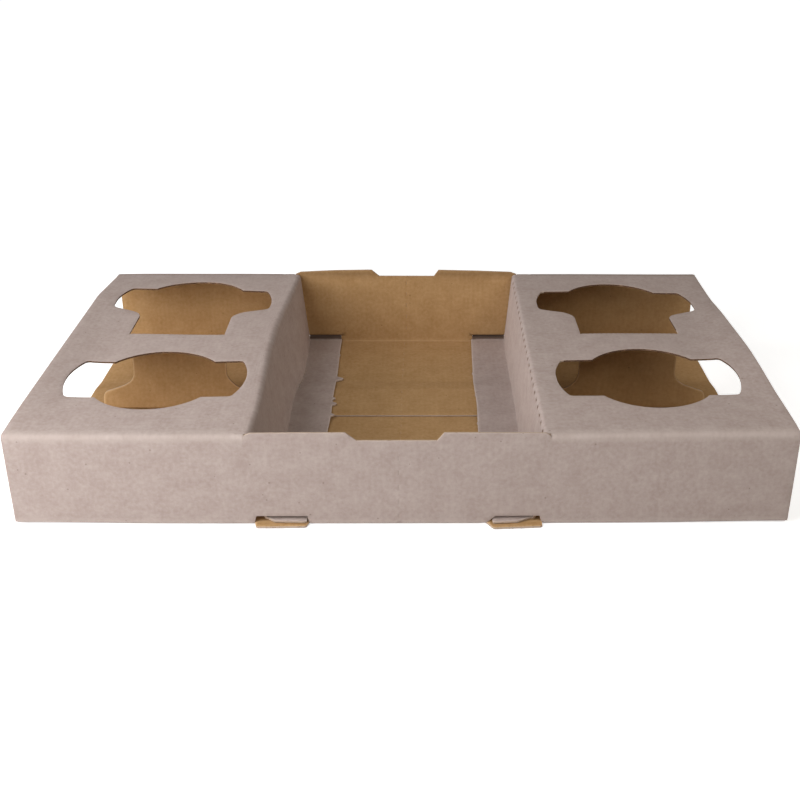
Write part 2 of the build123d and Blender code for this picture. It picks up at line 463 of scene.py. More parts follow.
@dataclass(frozen=True)
class Holes:
    """Cup holes: a circle with an ear at each side, whose ends lie on a larger circle.

    front_y, rear_y: their centres, from the middle of the sleeve. hinge_y: back face of a
    separator that hangs upright. radius, ear_radius: the two circles. ear_half: half of an ear's
    width. ear_corner, lower_corner: radii of an ear's corners, and of a rear ear's lower one.
    drop, root_drop: how far a rear ear's lower edge lies below the centre, at its end and at the
    neck, to which it slopes. neck_half, neck_fillet: half of the neck's width, and the radius
    beside it. kerf: what the knife takes off a separator. step: the largest step along an arc.
    """

    front_y: float = -51.5
    rear_y: float = 60.6
    hinge_y: float = 12.6
    radius: float = 37.75
    ear_radius: float = 52.1
    ear_half: float = 23.1
    ear_corner: float = 3.0
    drop: float = 8.0
    root_drop: float = 15.5
    lower_corner: float = 5.0
    neck_half: float = 31.3
    neck_fillet: float = 12.0
    kerf: float = 0.3
    step: float = 1.5

    def arc(self, centre: tuple[float, float], radius: float, begin: float, end: float) -> Array:
        """Points along an arc, without its last one.

        Args:
            centre: the arc's centre.
            radius: its radius.
            begin: angle of the first point, in radians.
            end: angle at which it ends.

        Returns:
            Points, one to a row.
        """
        steps = max(3, math.ceil(abs(end - begin) * radius / self.step))
        angles = np.linspace(begin, end, steps, endpoint=False)
        return np.array(centre) + radius * np.column_stack([np.cos(angles), np.sin(angles)])

    def upper_right(self, inset: float) -> Array:
        """From the right-hand end of an ear, over its corner, to the top of the circle.

        Args:
            inset: how far the cut lies inside the hole's own.

        Returns:
            Points, one to a row, without the circle's top.
        """
        half, ear, corner = self.ear_half - inset, self.ear_radius - inset, self.ear_corner
        radius = self.radius - inset
        across = math.sqrt((ear - corner) ** 2 - (half - corner) ** 2)
        up = half - corner
        turn = math.atan2(up, across)
        meet = math.asin(half / radius)
        inner = (radius * math.cos(meet), half)
        return np.vstack([
            self.arc((0.0, 0.0), ear, 0.0, turn),
            self.arc((across, up), corner, turn, math.pi / 2),
            run_between((across, half), inner, self.step),
            self.arc((0.0, 0.0), radius, meet, math.pi / 2),
        ])

    def front(self) -> Array:
        """Closed cut of a front hole about its centre, from one quarter and its mirror images.

        Returns:
            Points, one to a row.
        """
        quarter = self.upper_right(0.0)
        top = np.array([[0.0, self.radius]])
        right = quarter[1:]
        upper = np.vstack([quarter, top, right[::-1] * [-1, 1], [[-self.ear_radius, 0.0]]])
        return np.vstack([upper, upper[1:-1][::-1] * [1, -1]])

    def lower_right(self, inset: float, reach: float) -> Array:
        """From the hinge's right end, up the neck and along the ear's sloping edge, to its end.

        The edge meets the neck in a fillet and the ear's end in a round corner. Both centres lie
        on lines parallel to the edge: the fillet's at its radius from the neck, the corner's at
        its radius inside the ear circle.

        Args:
            inset: how far the cut lies inside the hole's own.
            reach: distance from the centre to the hinge.

        Returns:
            Points, one to a row, without the ear's end.
        """
        slope = math.atan2(self.root_drop - self.drop, self.ear_radius - self.neck_half)
        along = np.array([math.cos(slope), math.sin(slope)])
        up = np.array([-along[1], along[0]])
        slip = (1 - along[1]) / along[0]
        neck, ear = self.neck_half - inset, self.ear_radius - inset
        fillet, corner = self.neck_fillet + inset, self.lower_corner - inset
        root = np.array([self.neck_half, -self.root_drop]) + inset * (up - slip * along)
        begin = root + fillet * slip * along
        hollow = begin - fillet * up
        lifted = root + corner * up
        ahead = lifted @ along
        run = math.sqrt(ahead**2 - lifted @ lifted + (ear - corner) ** 2) - ahead
        turned = lifted + run * along
        end_angle = math.atan2(turned[1], turned[0])
        return np.vstack([
            run_between((neck, -reach), (neck, hollow[1]), self.step),
            self.arc(hollow, fillet, math.pi, math.pi / 2 + slope),
            run_between(tuple(begin), tuple(root + run * along), self.step),
            self.arc(turned, corner, slope - math.pi / 2, end_angle),
            self.arc((0.0, 0.0), ear, end_angle, 0.0),
        ])

    def rear(self, inset: float, reach: float) -> Array:
        """Open cut of a rear hole about its centre, from the hinge's right end to its left end.

        Args:
            inset: how far the cut lies inside the hole's own.
            reach: distance from the centre to the hinge.

        Returns:
            Points, one to a row, with both ends of the hinge.
        """
        right = np.vstack([self.lower_right(inset, reach), self.upper_right(inset)])
        top = np.array([[0.0, self.radius - inset]])
        return np.vstack([right, top, right[::-1] * [-1, 1]])


LEFT_HALF = Half(
    side=Side.LEFT,
    front=Corner(
        slit=83.4, rim_end=80.2,
        slot_root=(50.6, 80.6), slot_tip=(51.5, 79.4), slot_height=5.4,
        lip_tip=(52.4, 78.9), lip_reach=(3.3, 3.8),
        tab_root=(52.0, 73.6), tab_tip=(52.0, 70.0), tab_reach=(3.8, 3.2), tab_lift=0.0,
        notch_floor=24.2, notch_top=30.0,
    ),
    back=Corner(slit=81.4, rim_end=77.9, slot_root=(49.3, 74.9), slot_tip=(49.6, 74.6),
                tab_root=(49.4, 74.8), tab_tip=(49.9, 74.1), notch_floor=20.5, notch_top=26.0),
    top_fold=[(-120, 80.4), (-83, 79.6), (-49, 81.0), (-6, 83.0), (35, 82.6), (79, 79.9), (119, 77.6)],
    top_radius=[(-120, 2.2), (-60, 2.8), (-10, 3.3), (50, 3.3), (90, 2.6), (120, 2.0)],
    foot_fold=[(-120, 74.0), (-22, 73.8), (25, 74.2), (49, 72.2), (67, 71.4), (99, 72.1), (120, 72.8)],
    foot_edge=[(-120, 48.8), (-22, 48.8), (-2, 47.9), (20, 48.6), (44, 48.2), (65, 48.3), (98, 49.1),
               (120, 49.0)],
    sway=[(-120, 0.0), (-89, -0.8), (-14, -1.0), (30, 0.0), (45, 0.45), (85, 1.4), (98, 1.5), (118, 0.0)],
    crown=[(-120, 0.0), (-75, -0.6), (-31, -0.8), (0, 0.2), (45, 1.5), (84, 2.9), (100, 1.6), (120, 0.0)],
    free_end=[(-121, 0.0), (-105, 1.1), (-86, 1.9), (-50, 2.65), (-10, 3.3), (17, 3.7), (46, 4.2), (66, 4.7),
              (81, 3.1), (97, 1.6), (113, -0.1), (120, 0.0)],
    hole_x=144.0,
    ear_reach=0.0,
    neck_in=2.4,
    ear_low=1.8,
    lean=-5.5,
    top_dots=(0.0, 0.0, 0.0),
    foot_dots=(32.0, 68.0),
    nibs=[(-3.5, 3.0, 2.4), (12.0, 4.0, 2.8), (19.4, 2.4, 1.8), (51.5, 5.0, 4.6), (90.0, 1.6, 0.8)],
)

RIGHT_HALF = Half(
    side=Side.RIGHT,
    front=Corner(
        slit=78.4, rim_end=75.6,
        slot_root=(44.7, 75.8), slot_tip=(50.0, 74.4), slot_height=5.3,
        lip_tip=(49.0, 75.2), lip_reach=(5.0, 3.6),
        tab_root=(48.6, 70.0), tab_tip=(48.8, 63.0), tab_reach=(4.7, 3.9), tab_lift=0.0,
        notch_floor=18.5, notch_top=22.2,
    ),
    back=Corner(slit=79.8, rim_end=75.4, notch_floor=19.5, notch_top=22.8),
    top_fold=[(-120, 74.6), (-60, 74.9), (0, 75.2), (60, 75.9), (120, 76.4)],
    top_radius=[(-120, 1.75), (120, 1.75)],
    foot_fold=[(-120, 71.2), (-9, 71.2), (20, 71.3), (49, 71.4), (85, 71.4), (120, 72.0)],
    foot_edge=[(-120, 47.3), (-21, 45.9), (12, 46.7), (44, 45.9), (87, 46.9), (120, 47.7)],
    sway=[(-120, 0.5), (-89, 0.0), (-75, 0.2), (-50, 0.6), (-14, 1.1), (45, 0.0), (85, 0.6), (98, 0.2),
          (118, 0.0)],
    crown=[(-120, 0.6), (-75, 0.5), (-28, 1.2), (0, 0.9), (20, 0.0), (45, -1.1), (84, -1.2), (105, -0.4),
           (120, 0.0)],
    free_end=[(-121, 0.0), (-113, 1.3), (-100, 1.8), (-88, 2.4), (-74, 2.8), (-60, 3.6), (-46, 4.5),
              (-22, 5.1), (-3, 4.4), (18, 3.3), (40, 2.4), (53, 1.3), (67, 0.0), (79, -0.3), (102, -0.3),
              (120, 0.0)],
    hole_x=143.2,
    ear_reach=2.3,
    neck_in=0.0,
    ear_low=1.8,
    lean=-5.5,
    top_dots=(1.5, 2.6, 0.9),
    foot_dots=(0.0, 0.0),
    nibs=[(-12.0, 1.6, 0.6), (24.0, 1.4, 0.5), (60.0, 1.8, 0.7)],
)


# The panels' numbers: the sleeve, then each half with its separator, front lip and back lip.
SLEEVE = 0
HALVES = (1, 5)
SEPARATORS = (2, 6)
FRONT_LIPS = (3, 7)
# What lies lower than this on a half is its foot.
FOOT_HEIGHT = 12.0


@dataclass
class Carrier:
    """The folded sheet: its sizes and its panels.

    half_length, half_depth, height: of the sleeve. seam_edge, seam_width, seam_step, seam_inset:
    the seam's front edge in the base, its lap, the length over which the rear panel climbs it,
    and how far the flap stays back from the sleeve's ends. weld_x: where a half of the top panel
    joins the sleeve. wall_end: the compartment walls' front and back ends. tab_rise: half of the
    length over which a tab gains its lift. top_fold_flat, wall_flat: the stretches' lengths on
    the blank's grid. low_foot, high_foot: heights of a foot's top on the base and on the seam.
    foot_x: where a foot's grid lines end. spacing, fine_spacing, bend_steps: the grid's steps on
    the sleeve, on the folded panels and in a bend. cut_step, small_step: steps along a cut, and
    round a slot or lip. first_dot: from the front end of a half to its top fold's first
    perforation. dot_pitch: from one perforation to the next. rim_gap, rim_slope: the rim's end at
    the slit, as its distance from it and below the rim. notch_depth: of a rim's notch.
    warp_lines: lines along Y at which the panels' height is given. corner_lift, foot_bow: how far
    the front corners are lifted, the left one only at its foot, and the front wall's foot stands
    out. front_rim, back_rim: the rims' corners, as X and height.
    """

    board: Board = field(default_factory=Board)
    holes: Holes = field(default_factory=Holes)
    halves: tuple[Half, Half] = (LEFT_HALF, RIGHT_HALF)
    half_length: float = CAD_HIGH.x / MM
    half_depth: float = 120.0
    height: float = 55.0
    seam_edge: float = -1.0
    seam_width: float = 38.0
    seam_step: float = 14.0
    seam_inset: float = 1.5
    weld_x: float = 89.0
    wall_end: float = 117.5
    tab_rise: float = 1.4
    top_fold_flat: float = 9.0
    wall_flat: float = 47.0
    low_foot: float = 3.25
    high_foot: float = 4.78
    foot_x: float = 44.0
    spacing: float = 3.5
    fine_spacing: float = 3.0
    bend_steps: int = 6
    cut_step: float = 1.5
    small_step: float = 0.6
    first_dot: float = 6.0
    dot_pitch: float = 9.0
    rim_gap: float = 0.2
    rim_slope: float = 1.6
    notch_depth: float = 4.7
    warp_lines: tuple[float, float, float] = (90.0, 125.0, 187.0)
    corner_lift: float = 0.75
    foot_bow: float = 0.45
    front_rim: tuple[tuple[float, float], ...] = ((-80.0, 56.2), (-53.0, 56.4), (41.0, 56.4), (75.0, 56.2))
    back_rim: tuple[tuple[float, float], ...] = (
        (-78.0, 56.3), (-54.0, 57.5), (-30.0, 57.9), (24.0, 57.8), (50.0, 57.2), (76.0, 56.3),
    )

    def __post_init__(self) -> None:
        """Works out the sleeve's section and the blank's grid from the sizes."""
        board = self.board
        self.top_depth = self.half_depth - board.fold_radius
        self.base_depth = self.half_depth - board.tight_radius
        self.wall_run = self.height - board.fold_radius - board.tight_radius
        self.fold_top = self.height - board.fold_radius
        self.top_middle = self.height - board.thickness / 2
        self.seam_end = self.seam_edge + self.seam_width
        soft, tight = (radius * math.pi / 2 for radius in (board.middle_radius, board.tight_middle))
        quarter, pressed = Stretch(soft, soft, -math.pi / 2), Stretch(tight, tight, -math.pi / 2)
        glue, ease = 0.04, 2.5
        slope = math.atan2(board.thickness + glue, self.seam_step)

        def straight(length: float) -> Stretch:
            """A stretch that doesn't bend."""
            return Stretch(length, length)

        self.sleeve = FoldPath(
            start=(self.seam_end, board.thickness / 2),
            heading=math.pi,
            stretches=[
                straight(self.seam_end + self.base_depth), pressed,
                straight(self.wall_run), quarter,
                straight(2 * self.top_depth), quarter,
                straight(self.wall_run), pressed,
                straight(self.base_depth - self.seam_end - self.seam_step),
                Stretch(ease, ease, -slope),
                straight(self.seam_step - ease),
                Stretch(ease, ease, slope),
                straight(self.seam_width - ease),
            ],
        )
        (_, self.s_front_bottom, self.s_front_wall, self.s_front_top, self.s_top, self.s_back_top,
         self.s_back_wall, self.s_back_bottom, self.s_rear_base, *_, self.s_end) = self.sleeve.breaks()
        self.s_middle = (self.s_top + self.s_back_top) / 2
        steps = math.ceil(2 * self.half_length / self.spacing)
        self.columns = np.linspace(-self.half_length, self.half_length, steps + 1)
        tab_rows = self.s_middle + self.wall_end - np.array([self.tab_rise, 2 * self.tab_rise])
        self.rows = np.sort(np.concatenate([self.sleeve.lines(self.spacing, self.bend_steps), tab_rows]))
        self.top_rows = self.rows[(self.rows > self.s_top - 1e-6) & (self.rows < self.s_back_top + 1e-6)]

    def slit_at(self, u: Array, front: Array) -> Array:
        """End of the slit on the side and at the wall that a place belongs to.

        Args:
            u: places across the blank.
            front: tells which of them belong to the front wall.

        Returns:
            Distances from the middle.
        """
        left, right = self.halves
        near = np.where(u < 0, left.front.slit, right.front.slit)
        far = np.where(u < 0, left.back.slit, right.back.slit)
        return np.where(front, near, far)

    def fold_sleeve(self, u: Array, s: Array) -> Array:
        """Folds the sleeve: X is the place across the blank, Y and Z follow its section.

        Between the slits the walls don't bend over at the top, but stand straight to their rims.

        Args:
            u: places across the blank.
            s: places along the blank.

        Returns:
            Points in space, one to a row.
        """
        y, z, _ = self.sleeve.at(s)
        middle = self.board.thickness / 2
        front = s < self.s_middle
        free = (np.abs(u) < self.slit_at(u, front) - 1e-6) & (s > self.s_front_top) & (s < self.s_back_wall)
        past = np.where(front, s - self.s_front_top, self.s_back_wall - s)
        wall_y = np.where(front, middle - self.half_depth, self.half_depth - middle)
        return np.column_stack([u, np.where(free, wall_y, y), np.where(free, self.fold_top + past, z)])

    def half_path(self, half: Half, y: Array) -> tuple[FoldPath, Array]:
        """Section across a half of the top panel, from its weld to the edge of its foot.

        The grey face runs from the top panel down to the foot, and the board's middle lies half
        a thickness behind it. P1 and P2 are the corners of the middle before they are rounded.

        Args:
            half: the half of the panel.
            y: places along the sleeve.

        Returns:
            The path in X and Z, for X away from the middle, and the X where its foot begins.
        """
        middle, foot_radius = self.board.thickness / 2, self.board.tight_middle
        blur, climb_begin, climb_end = 9.0, 13.0, 2.0
        top_radius = smooth_knots(y, half.top_radius, blur)
        top_x = smooth_knots(y, half.top_fold, blur)
        foot_x = smooth_knots(y, half.foot_fold, blur)
        rise = smooth_step(y, self.seam_edge - climb_begin, self.seam_edge - climb_end)
        rise = rise * (1 - smooth_step(y, self.seam_end, self.seam_end + self.seam_step))
        foot_top = self.low_foot + (self.high_foot - self.low_foot) * rise
        lean = np.arctan2(top_x - foot_x, self.height - foot_top)
        begin = (middle - middle * np.sin(lean)) / np.cos(lean)
        end = (self.height + middle - foot_top - middle * np.sin(lean)) / np.cos(lean)
        p1 = top_x + middle * np.cos(lean) - begin * np.sin(lean)
        p2 = top_x + middle * np.cos(lean) - end * np.sin(lean)
        turn = math.pi / 2 - lean
        top_touch, foot_touch = top_radius * np.tan(turn / 2), foot_radius * np.tan(turn / 2)
        bend = self.board.middle_radius * math.pi / 2
        foot_length = 40.0
        path = FoldPath(
            start=(self.weld_x + np.zeros_like(y), self.top_middle + np.zeros_like(y)),
            heading=math.pi,
            stretches=[
                Stretch(self.top_fold_flat, self.weld_x - p1 - top_touch),
                Stretch(bend, turn * top_radius, turn),
                Stretch(self.wall_flat, end - begin - top_touch - foot_touch),
                Stretch(bend, turn * foot_radius, -turn),
                Stretch(foot_length, foot_length),
            ],
        )
        return path, p2 - foot_touch

    def foot_w(self, half: Half, x: Array | float, y: Array | float) -> Array:
        """Place across the half's blank that folds to a place on the foot.

        Args:
            half: the half of the panel.
            x: distances from the middle.
            y: places along the sleeve.

        Returns:
            Distances from the weld on the blank.
        """
        y = np.atleast_1d(np.asarray(y, float))
        path, start = self.half_path(half, y)
        return path.breaks()[-2] + start - x

    def fold_half(self, half: Half) -> Callable[[Array, Array], Array]:
        """The fold of one half of the top panel.

        Args:
            half: the half of the panel.

        Returns:
            The function from the blank, by distance from the weld and place along Y, to space.
        """

        def fold(w: Array, y: Array) -> Array:
            """Follows the half's section, and lifts its tabs.

            Args:
                w: distances from the weld.
                y: places along the sleeve.

            Returns:
                Points in space, one to a row.
            """
            x, z, _ = self.half_path(half, y)[0].at(w)
            for corner, sign in ((half.front, -1), (half.back, 1)):
                past = np.clip((sign * y - self.wall_end) / self.tab_rise + 1.0, 0.0, 2.0)
                z = z + corner.tab_lift * past / 2 * (z < self.high_foot)
            return np.column_stack([half.side.value * x, y, z])

        return fold

    def fold_separator(self, half: Half) -> tuple[Callable[[Array, Array], Array], Array]:
        """The fold of one separator, and the grid's rows along it.

        It hangs from its hinge and turns back along the base.

        Args:
            half: the half of the panel.

        Returns:
            The function from the blank, by distances from the hole's middle line and from the
            hinge, to space, and the rows.
        """
        radius, foot_radius = self.board.middle_radius, self.board.tight_middle
        lean = math.radians(half.lean)
        turn = math.pi / 2 - lean
        foot_middle = self.high_foot - self.board.thickness / 2
        drop = self.top_middle - foot_middle - (radius + foot_radius) * (1 - math.sin(lean))
        upright, foot_length = drop / math.cos(lean), 60.0
        path = FoldPath(
            start=(self.holes.hinge_y - self.board.fold_radius, self.top_middle),
            heading=0.0,
            stretches=[
                Stretch(turn * radius, turn * radius, -turn),
                Stretch(upright, upright),
                Stretch(turn * foot_radius, turn * foot_radius, turn),
                Stretch(foot_length, foot_length),
            ],
        )

        def fold(across: Array, q: Array) -> Array:
            """Follows the separator's section."""
            y, z, _ = path.at(q)
            return np.column_stack([half.side.value * half.hole_x + across, y, z])

        return fold, path.lines(self.fine_spacing, self.bend_steps)

    def fold_lip(self, half: Half, front: bool) -> Callable[[Array, Array], Array]:
        """The fold of a lip, which goes straight on from the base.

        Args:
            half: the half on whose side it lies.
            front: whether it is a front lip.

        Returns:
            The function from the blank, by distances from the middle and from its root, to space.
        """

        def fold(x: Array, q: Array) -> Array:
            """Lays the lip in the base's plane."""
            y = (self.base_depth + q) * (-1 if front else 1)
            return np.column_stack([half.side.value * x, y, np.full_like(q, self.board.thickness / 2)])

        return fold

    def compartment_cut(self) -> Array:
        """Closed cut between the two rims and the two halves of the top panel, in the sleeve.

        At each corner it leaves the rim at the slit, follows the slit over the fold, and turns
        along the weld to the half of the top panel.

        Returns:
            Points, one to a row.
        """
        left, right = self.halves
        front_base = self.s_front_top - self.fold_top
        back_base = self.s_back_wall + self.fold_top
        corners = []

        def rim(levels: tuple, side: Side, corner: Corner, front: bool) -> list:
            """Rim from its end at the slit to the notch, on one side.

            Args:
                levels: the rim's corners, as X and height.
                side: the side.
                corner: the corner of the compartment there.
                front: whether it is the front rim.

            Returns:
                Places on the blank.
            """
            x_level = sorted(((abs(x), z) for x, z in levels if x * side.value > 0), reverse=True)
            outer_z, inner_z = x_level[0][1], x_level[-1][1]
            path = [
                (corner.slit - self.rim_gap, outer_z - self.rim_slope), (corner.rim_end, outer_z),
                *x_level[1:], (corner.notch_top, inner_z),
                (corner.notch_floor, inner_z - self.notch_depth),
            ]
            return [(side.value * x, front_base + z if front else back_base - z) for x, z in path]

        for front, levels in ((True, self.front_rim), (False, self.back_rim)):
            rims = []
            for half in (left, right):
                corner, sign = half.corner(front), half.side.value
                s_slit = self.s_front_top if front else self.s_back_wall
                s_weld = self.s_top if front else self.s_back_top
                slit_x = sign * corner.slit
                arm = [(sign * self.weld_x, s_weld), (slit_x, s_weld), (slit_x, s_slit)]
                rims.append([*arm, *rim(levels, half.side, corner, front)])
            whole = [*rims[0], *rims[1][::-1]]
            corners += whole if front else whole[::-1]
        return closed_cut(corners, self.cut_step, self.columns, self.rows)

    def slot_corners(self, half: Half, front: bool) -> list[tuple[float, float]]:
        """Corners of a slot in the sleeve, with its root line first.

        Args:
            half: the half on whose side it lies.
            front: whether it is a front slot.

        Returns:
            Places on the blank.
        """
        corner, sign = half.corner(front), half.side.value
        up = corner.slot_height - self.board.tight_radius
        root, tip = ((self.s_front_bottom, self.s_front_wall + up) if front
                     else (self.s_rear_base, self.s_back_bottom - up))
        (root_in, root_out), (tip_in, tip_out) = corner.slot_root, corner.slot_tip
        bevel = 0.35
        below = tip - bevel if tip > root else tip + bevel
        return [
            (sign * root_in, root), (sign * root_out, root),
            (sign * tip_out, below), (sign * (tip_out - bevel), tip),
            (sign * (tip_in + bevel), tip), (sign * tip_in, below),
        ]

    def perforation(self, centre: tuple[float, float], length: float, width: float) -> Array:
        """Closed cut of one perforation, pointed at both ends, along the blank's second direction.

        Args:
            centre: its place in the panel's coordinates.
            length: its length.
            width: its width.

        Returns:
            Points, one to a row.
        """
        reach, half = length / 2, width / 2
        shape = np.array([(0.0, -reach), (-half, -reach + half), (-half, 0.0), (-half, reach - half),
                          (0.0, reach), (half, reach - half), (half, 0.0), (half, -reach + half)])
        return np.array(centre) + shape

    def fitted(self, cut: Array, half: Half, rear: bool) -> Array:
        """Gives a hole's cut the ears and the neck that it has on this half.

        The points move by amounts that grow evenly towards the ear or the neck.

        Args:
            cut: points about the hole's centre.
            half: the half that it is cut in.
            rear: whether it is a rear hole.

        Returns:
            The moved points.
        """
        inward, below = -half.side.value * cut[:, 0], -cut[:, 1]
        shift = half.ear_reach * ramp(inward, 30.0, 42.0)
        drop = np.zeros(len(cut))
        if rear:
            shift = shift - half.neck_in * ramp(below, 12.0, 22.0) * ramp(inward, 20.0, 28.0)
            drop = half.ear_low * ramp(-inward, 30.0, 36.0) * ramp(below, 0.0, 6.0)
        return cut - np.column_stack([half.side.value * shift, drop])

    def sleeve_panel(self) -> Panel:
        """Base, walls and top panel, with everything that is cut from them.

        Returns:
            The panel, by places on the blank.
        """
        end, flap_end = self.half_length, self.half_length - self.seam_inset
        flap, full = self.seam_width, self.seam_width + 2
        outline = closed_cut(
            [(-flap_end, 0.0), (flap_end, 0.0), (flap_end, flap), (end, full),
             (end, self.s_end), (-end, self.s_end), (-end, full), (-flap_end, flap)],
            self.spacing, self.columns, self.rows)
        cuts = [outline, self.compartment_cut()]
        holes = self.holes
        for half in self.halves:
            centre_x = half.side.value * half.hole_x
            cuts.append(self.fitted(holes.front(), half, False) + [centre_x, self.s_middle + holes.front_y])
            reach = holes.rear_y - (holes.hinge_y - self.board.fold_radius)
            rear = holes.rear(0.0, reach)
            narrow = holes.neck_half - holes.kerf
            hinge = run_between((-narrow, -reach), (narrow, -reach), self.cut_step)
            hinge = np.vstack([hinge, [[narrow, -reach]]])
            opening = self.fitted(np.vstack([rear, hinge]), half, True)
            cuts.append(opening + [centre_x, self.s_middle + holes.rear_y])
            for front in (True, False):
                cuts.append(closed_cut(self.slot_corners(half, front), self.small_step))
        # The middle line's runs of perforations: where each begins and ends, and its X there.
        length, width = 3.0, 0.1
        for low, high, x_low, x_high in (
            (12.0, self.s_front_bottom - 3, -2.7, -2.6),
            (self.s_front_wall + 2, self.s_front_top - 5, -1.9, -1.9),
            (self.s_back_wall + 3, self.s_back_bottom - 2, -0.7, -0.6),
            (self.s_rear_base + 3, self.s_rear_base + 64, -2.2, -2.8),
            (self.s_end - self.seam_width + 4, self.s_end - 3, -2.9, -3.0),
        ):
            for s in np.arange(low + length / 2, high - length / 2, self.dot_pitch):
                x = x_low + (x_high - x_low) * (s - low) / (high - low)
                cuts.append(self.perforation((x, s), length, width))
        return Panel("sleeve", cuts, self.columns, self.rows, self.fold_sleeve, lambda flat: flat)

    def half_panel(self, half: Half) -> Panel:
        """Half of the top panel where it folds down, with its foot and its two tabs.

        Args:
            half: the half of the panel.

        Returns:
            The panel, by distance from its weld and place along Y.
        """
        end, y_rows = self.wall_end, self.top_rows - self.s_middle
        nominal, _ = self.half_path(half, np.zeros(1))
        w_lines = nominal.lines(self.fine_spacing, self.bend_steps)
        w_lines = w_lines[w_lines < self.foot_w(half, self.foot_x, 0.0)[0]]

        def arm(front: bool) -> Array:
            """The cut beside the sleeve's fold, from the panel's corner to the slit.

            Args:
                front: whether it is the front one.

            Returns:
                Points, one to a row.
            """
            y = -end if front else end
            corner = half.corner(front)
            s = self.s_top if front else self.s_back_top
            u = run_between((self.weld_x, s), (corner.slit, s), self.cut_step, self.columns)[:, 0]
            u = np.append(u, corner.slit)
            first = self.half_path(half, np.full(1, y))[0].stretches[0]
            w = (self.weld_x - u) * first.flat / first.length[0]
            return np.column_stack([w, np.full_like(w, y)])

        def tab(front: bool) -> Array:
            """From the outer end of a tab's root, round the tab, to the edge of the foot.

            Args:
                front: whether it is the front one.

            Returns:
                Its corners, one to a row.
            """
            bevel_out, bevel_in = 0.4, 0.5
            sign = -1 if front else 1
            corner = half.corner(front)
            near = sign * end
            far_in, far_out = (sign * (end + reach) for reach in corner.tab_reach)
            edge_x = float(np.interp(near, *np.array(half.foot_edge).T))
            path = [
                (corner.tab_root[1], near), (corner.tab_tip[1], far_out - sign * bevel_out),
                (corner.tab_tip[1] - bevel_in, far_out), (corner.tab_tip[0] + bevel_in, far_in),
                (corner.tab_tip[0], far_in - sign * bevel_out), (corner.tab_root[0], near),
            ]
            if corner.tab_root[0] > edge_x + 0.8:
                path.append((edge_x, near))
            return np.array([(self.foot_w(half, x, near)[0], y) for x, y in path])

        edge_y = np.arange(-end, end + 0.01, 1.0)[1:-1]
        edge_x = smooth_knots(edge_y, half.foot_edge, 4.0)
        for place, width, reach in half.nibs:
            edge_x = edge_x - reach * np.clip(1.3 - np.abs(edge_y - place) / (width / 2), 0.0, 1.0)
        foot_edge = np.column_stack([self.foot_w(half, edge_x, edge_y), edge_y])
        back_arm, front_arm = arm(False), arm(True)
        back_tab, front_tab = tab(False), tab(True)
        pieces = [
            run_between((0.0, -end), (0.0, end), self.cut_step, None, y_rows),
            back_arm[:-1],
            run_between(tuple(back_arm[-1]), tuple(back_tab[0]), self.cut_step, w_lines),
            *(run_between(tuple(a), tuple(b), self.cut_step) for a, b in zip(back_tab, back_tab[1:])),
            back_tab[-1:],
            foot_edge[::-1],
            *(run_between(tuple(a), tuple(b), self.cut_step)
              for a, b in zip(front_tab[::-1], front_tab[::-1][1:])),
            np.vstack([front_tab[:1], run_between(tuple(front_arm[-1]), tuple(front_tab[0]),
                                                  self.cut_step, w_lines)[1:][::-1]]),
            front_arm[1:][::-1],
        ]
        cuts = [np.vstack(pieces)]
        down, dot_length, dot_width = half.top_dots
        fold_w = self.top_fold_flat + self.board.middle_radius * math.pi / 4 + down
        for y in np.arange(self.first_dot - end, end - 4, self.dot_pitch) if dot_length > 0 else ():
            cuts.append(self.perforation((fold_w, y), dot_length, dot_width))
        foot_fold, foot_pitch = nominal.breaks()[-2] + 0.3, 4.6
        for y in np.arange(*half.foot_dots, foot_pitch):
            cuts.append(self.perforation((foot_fold, y), length=2.0, width=0.8))
        sign = half.side.value

        def blank(flat: Array) -> Array:
            """Place on the whole blank."""
            return np.column_stack([sign * (self.weld_x - flat[:, 0]), flat[:, 1] + self.s_middle])

        name = f"{half.side.name.lower()} half"
        return Panel(name, cuts, w_lines, y_rows, self.fold_half(half), blank, sign > 0)

    def separator_panel(self, half: Half) -> Panel:
        """Board cut from a rear hole.

        Args:
            half: the half that the hole is cut in.

        Returns:
            The panel, by distances from the hole's middle line and from its hinge.
        """
        holes = self.holes
        reach = holes.rear_y - (holes.hinge_y - self.board.fold_radius)
        narrow = holes.neck_half - holes.kerf
        hinge = run_between((-narrow, -reach), (narrow, -reach), self.cut_step)
        cut = self.fitted(np.vstack([holes.rear(holes.kerf, reach), hinge[1:]]), half, True) + [0.0, reach]
        fold, rows = self.fold_separator(half)
        rows = rows[rows < reach + holes.radius]
        columns = np.linspace(-holes.ear_radius, holes.ear_radius, 36)
        start = [half.side.value * half.hole_x, self.s_middle + holes.rear_y - reach]
        name = f"{half.side.name.lower()} separator"
        return Panel(name, [cut], columns, rows, fold, lambda flat: flat + start)

    def lip_panel(self, half: Half, front: bool) -> Panel:
        """Lip that was cut from a slot, from its root at the fold.

        Args:
            half: the half on whose side it lies.
            front: whether it is a front lip.

        Returns:
            The panel, by distances from the middle and from the lip's root.
        """
        corner = half.corner(front)
        (root_in, root_out), (tip_in, tip_out) = corner.slot_root, corner.lip_tip
        far_in, far_out = (self.board.tight_radius + reach for reach in corner.lip_reach)
        half_bevel, bevel = 0.5, 0.8
        cut = closed_cut([
            (root_in, 0.0), (root_out, 0.0),
            (tip_out + half_bevel, far_out - bevel), (tip_out - half_bevel, far_out),
            (tip_in + half_bevel, far_in), (tip_in - half_bevel, far_in - bevel),
        ], self.small_step)
        columns = np.linspace(root_in, root_out, 16)
        rows = np.linspace(0.0, max(far_in, far_out), 6)
        sign = half.side.value

        def blank(flat: Array) -> Array:
            """Place on the whole blank."""
            s = self.s_front_bottom + flat[:, 1] if front else self.s_rear_base - flat[:, 1]
            return np.column_stack([sign * flat[:, 0], s])

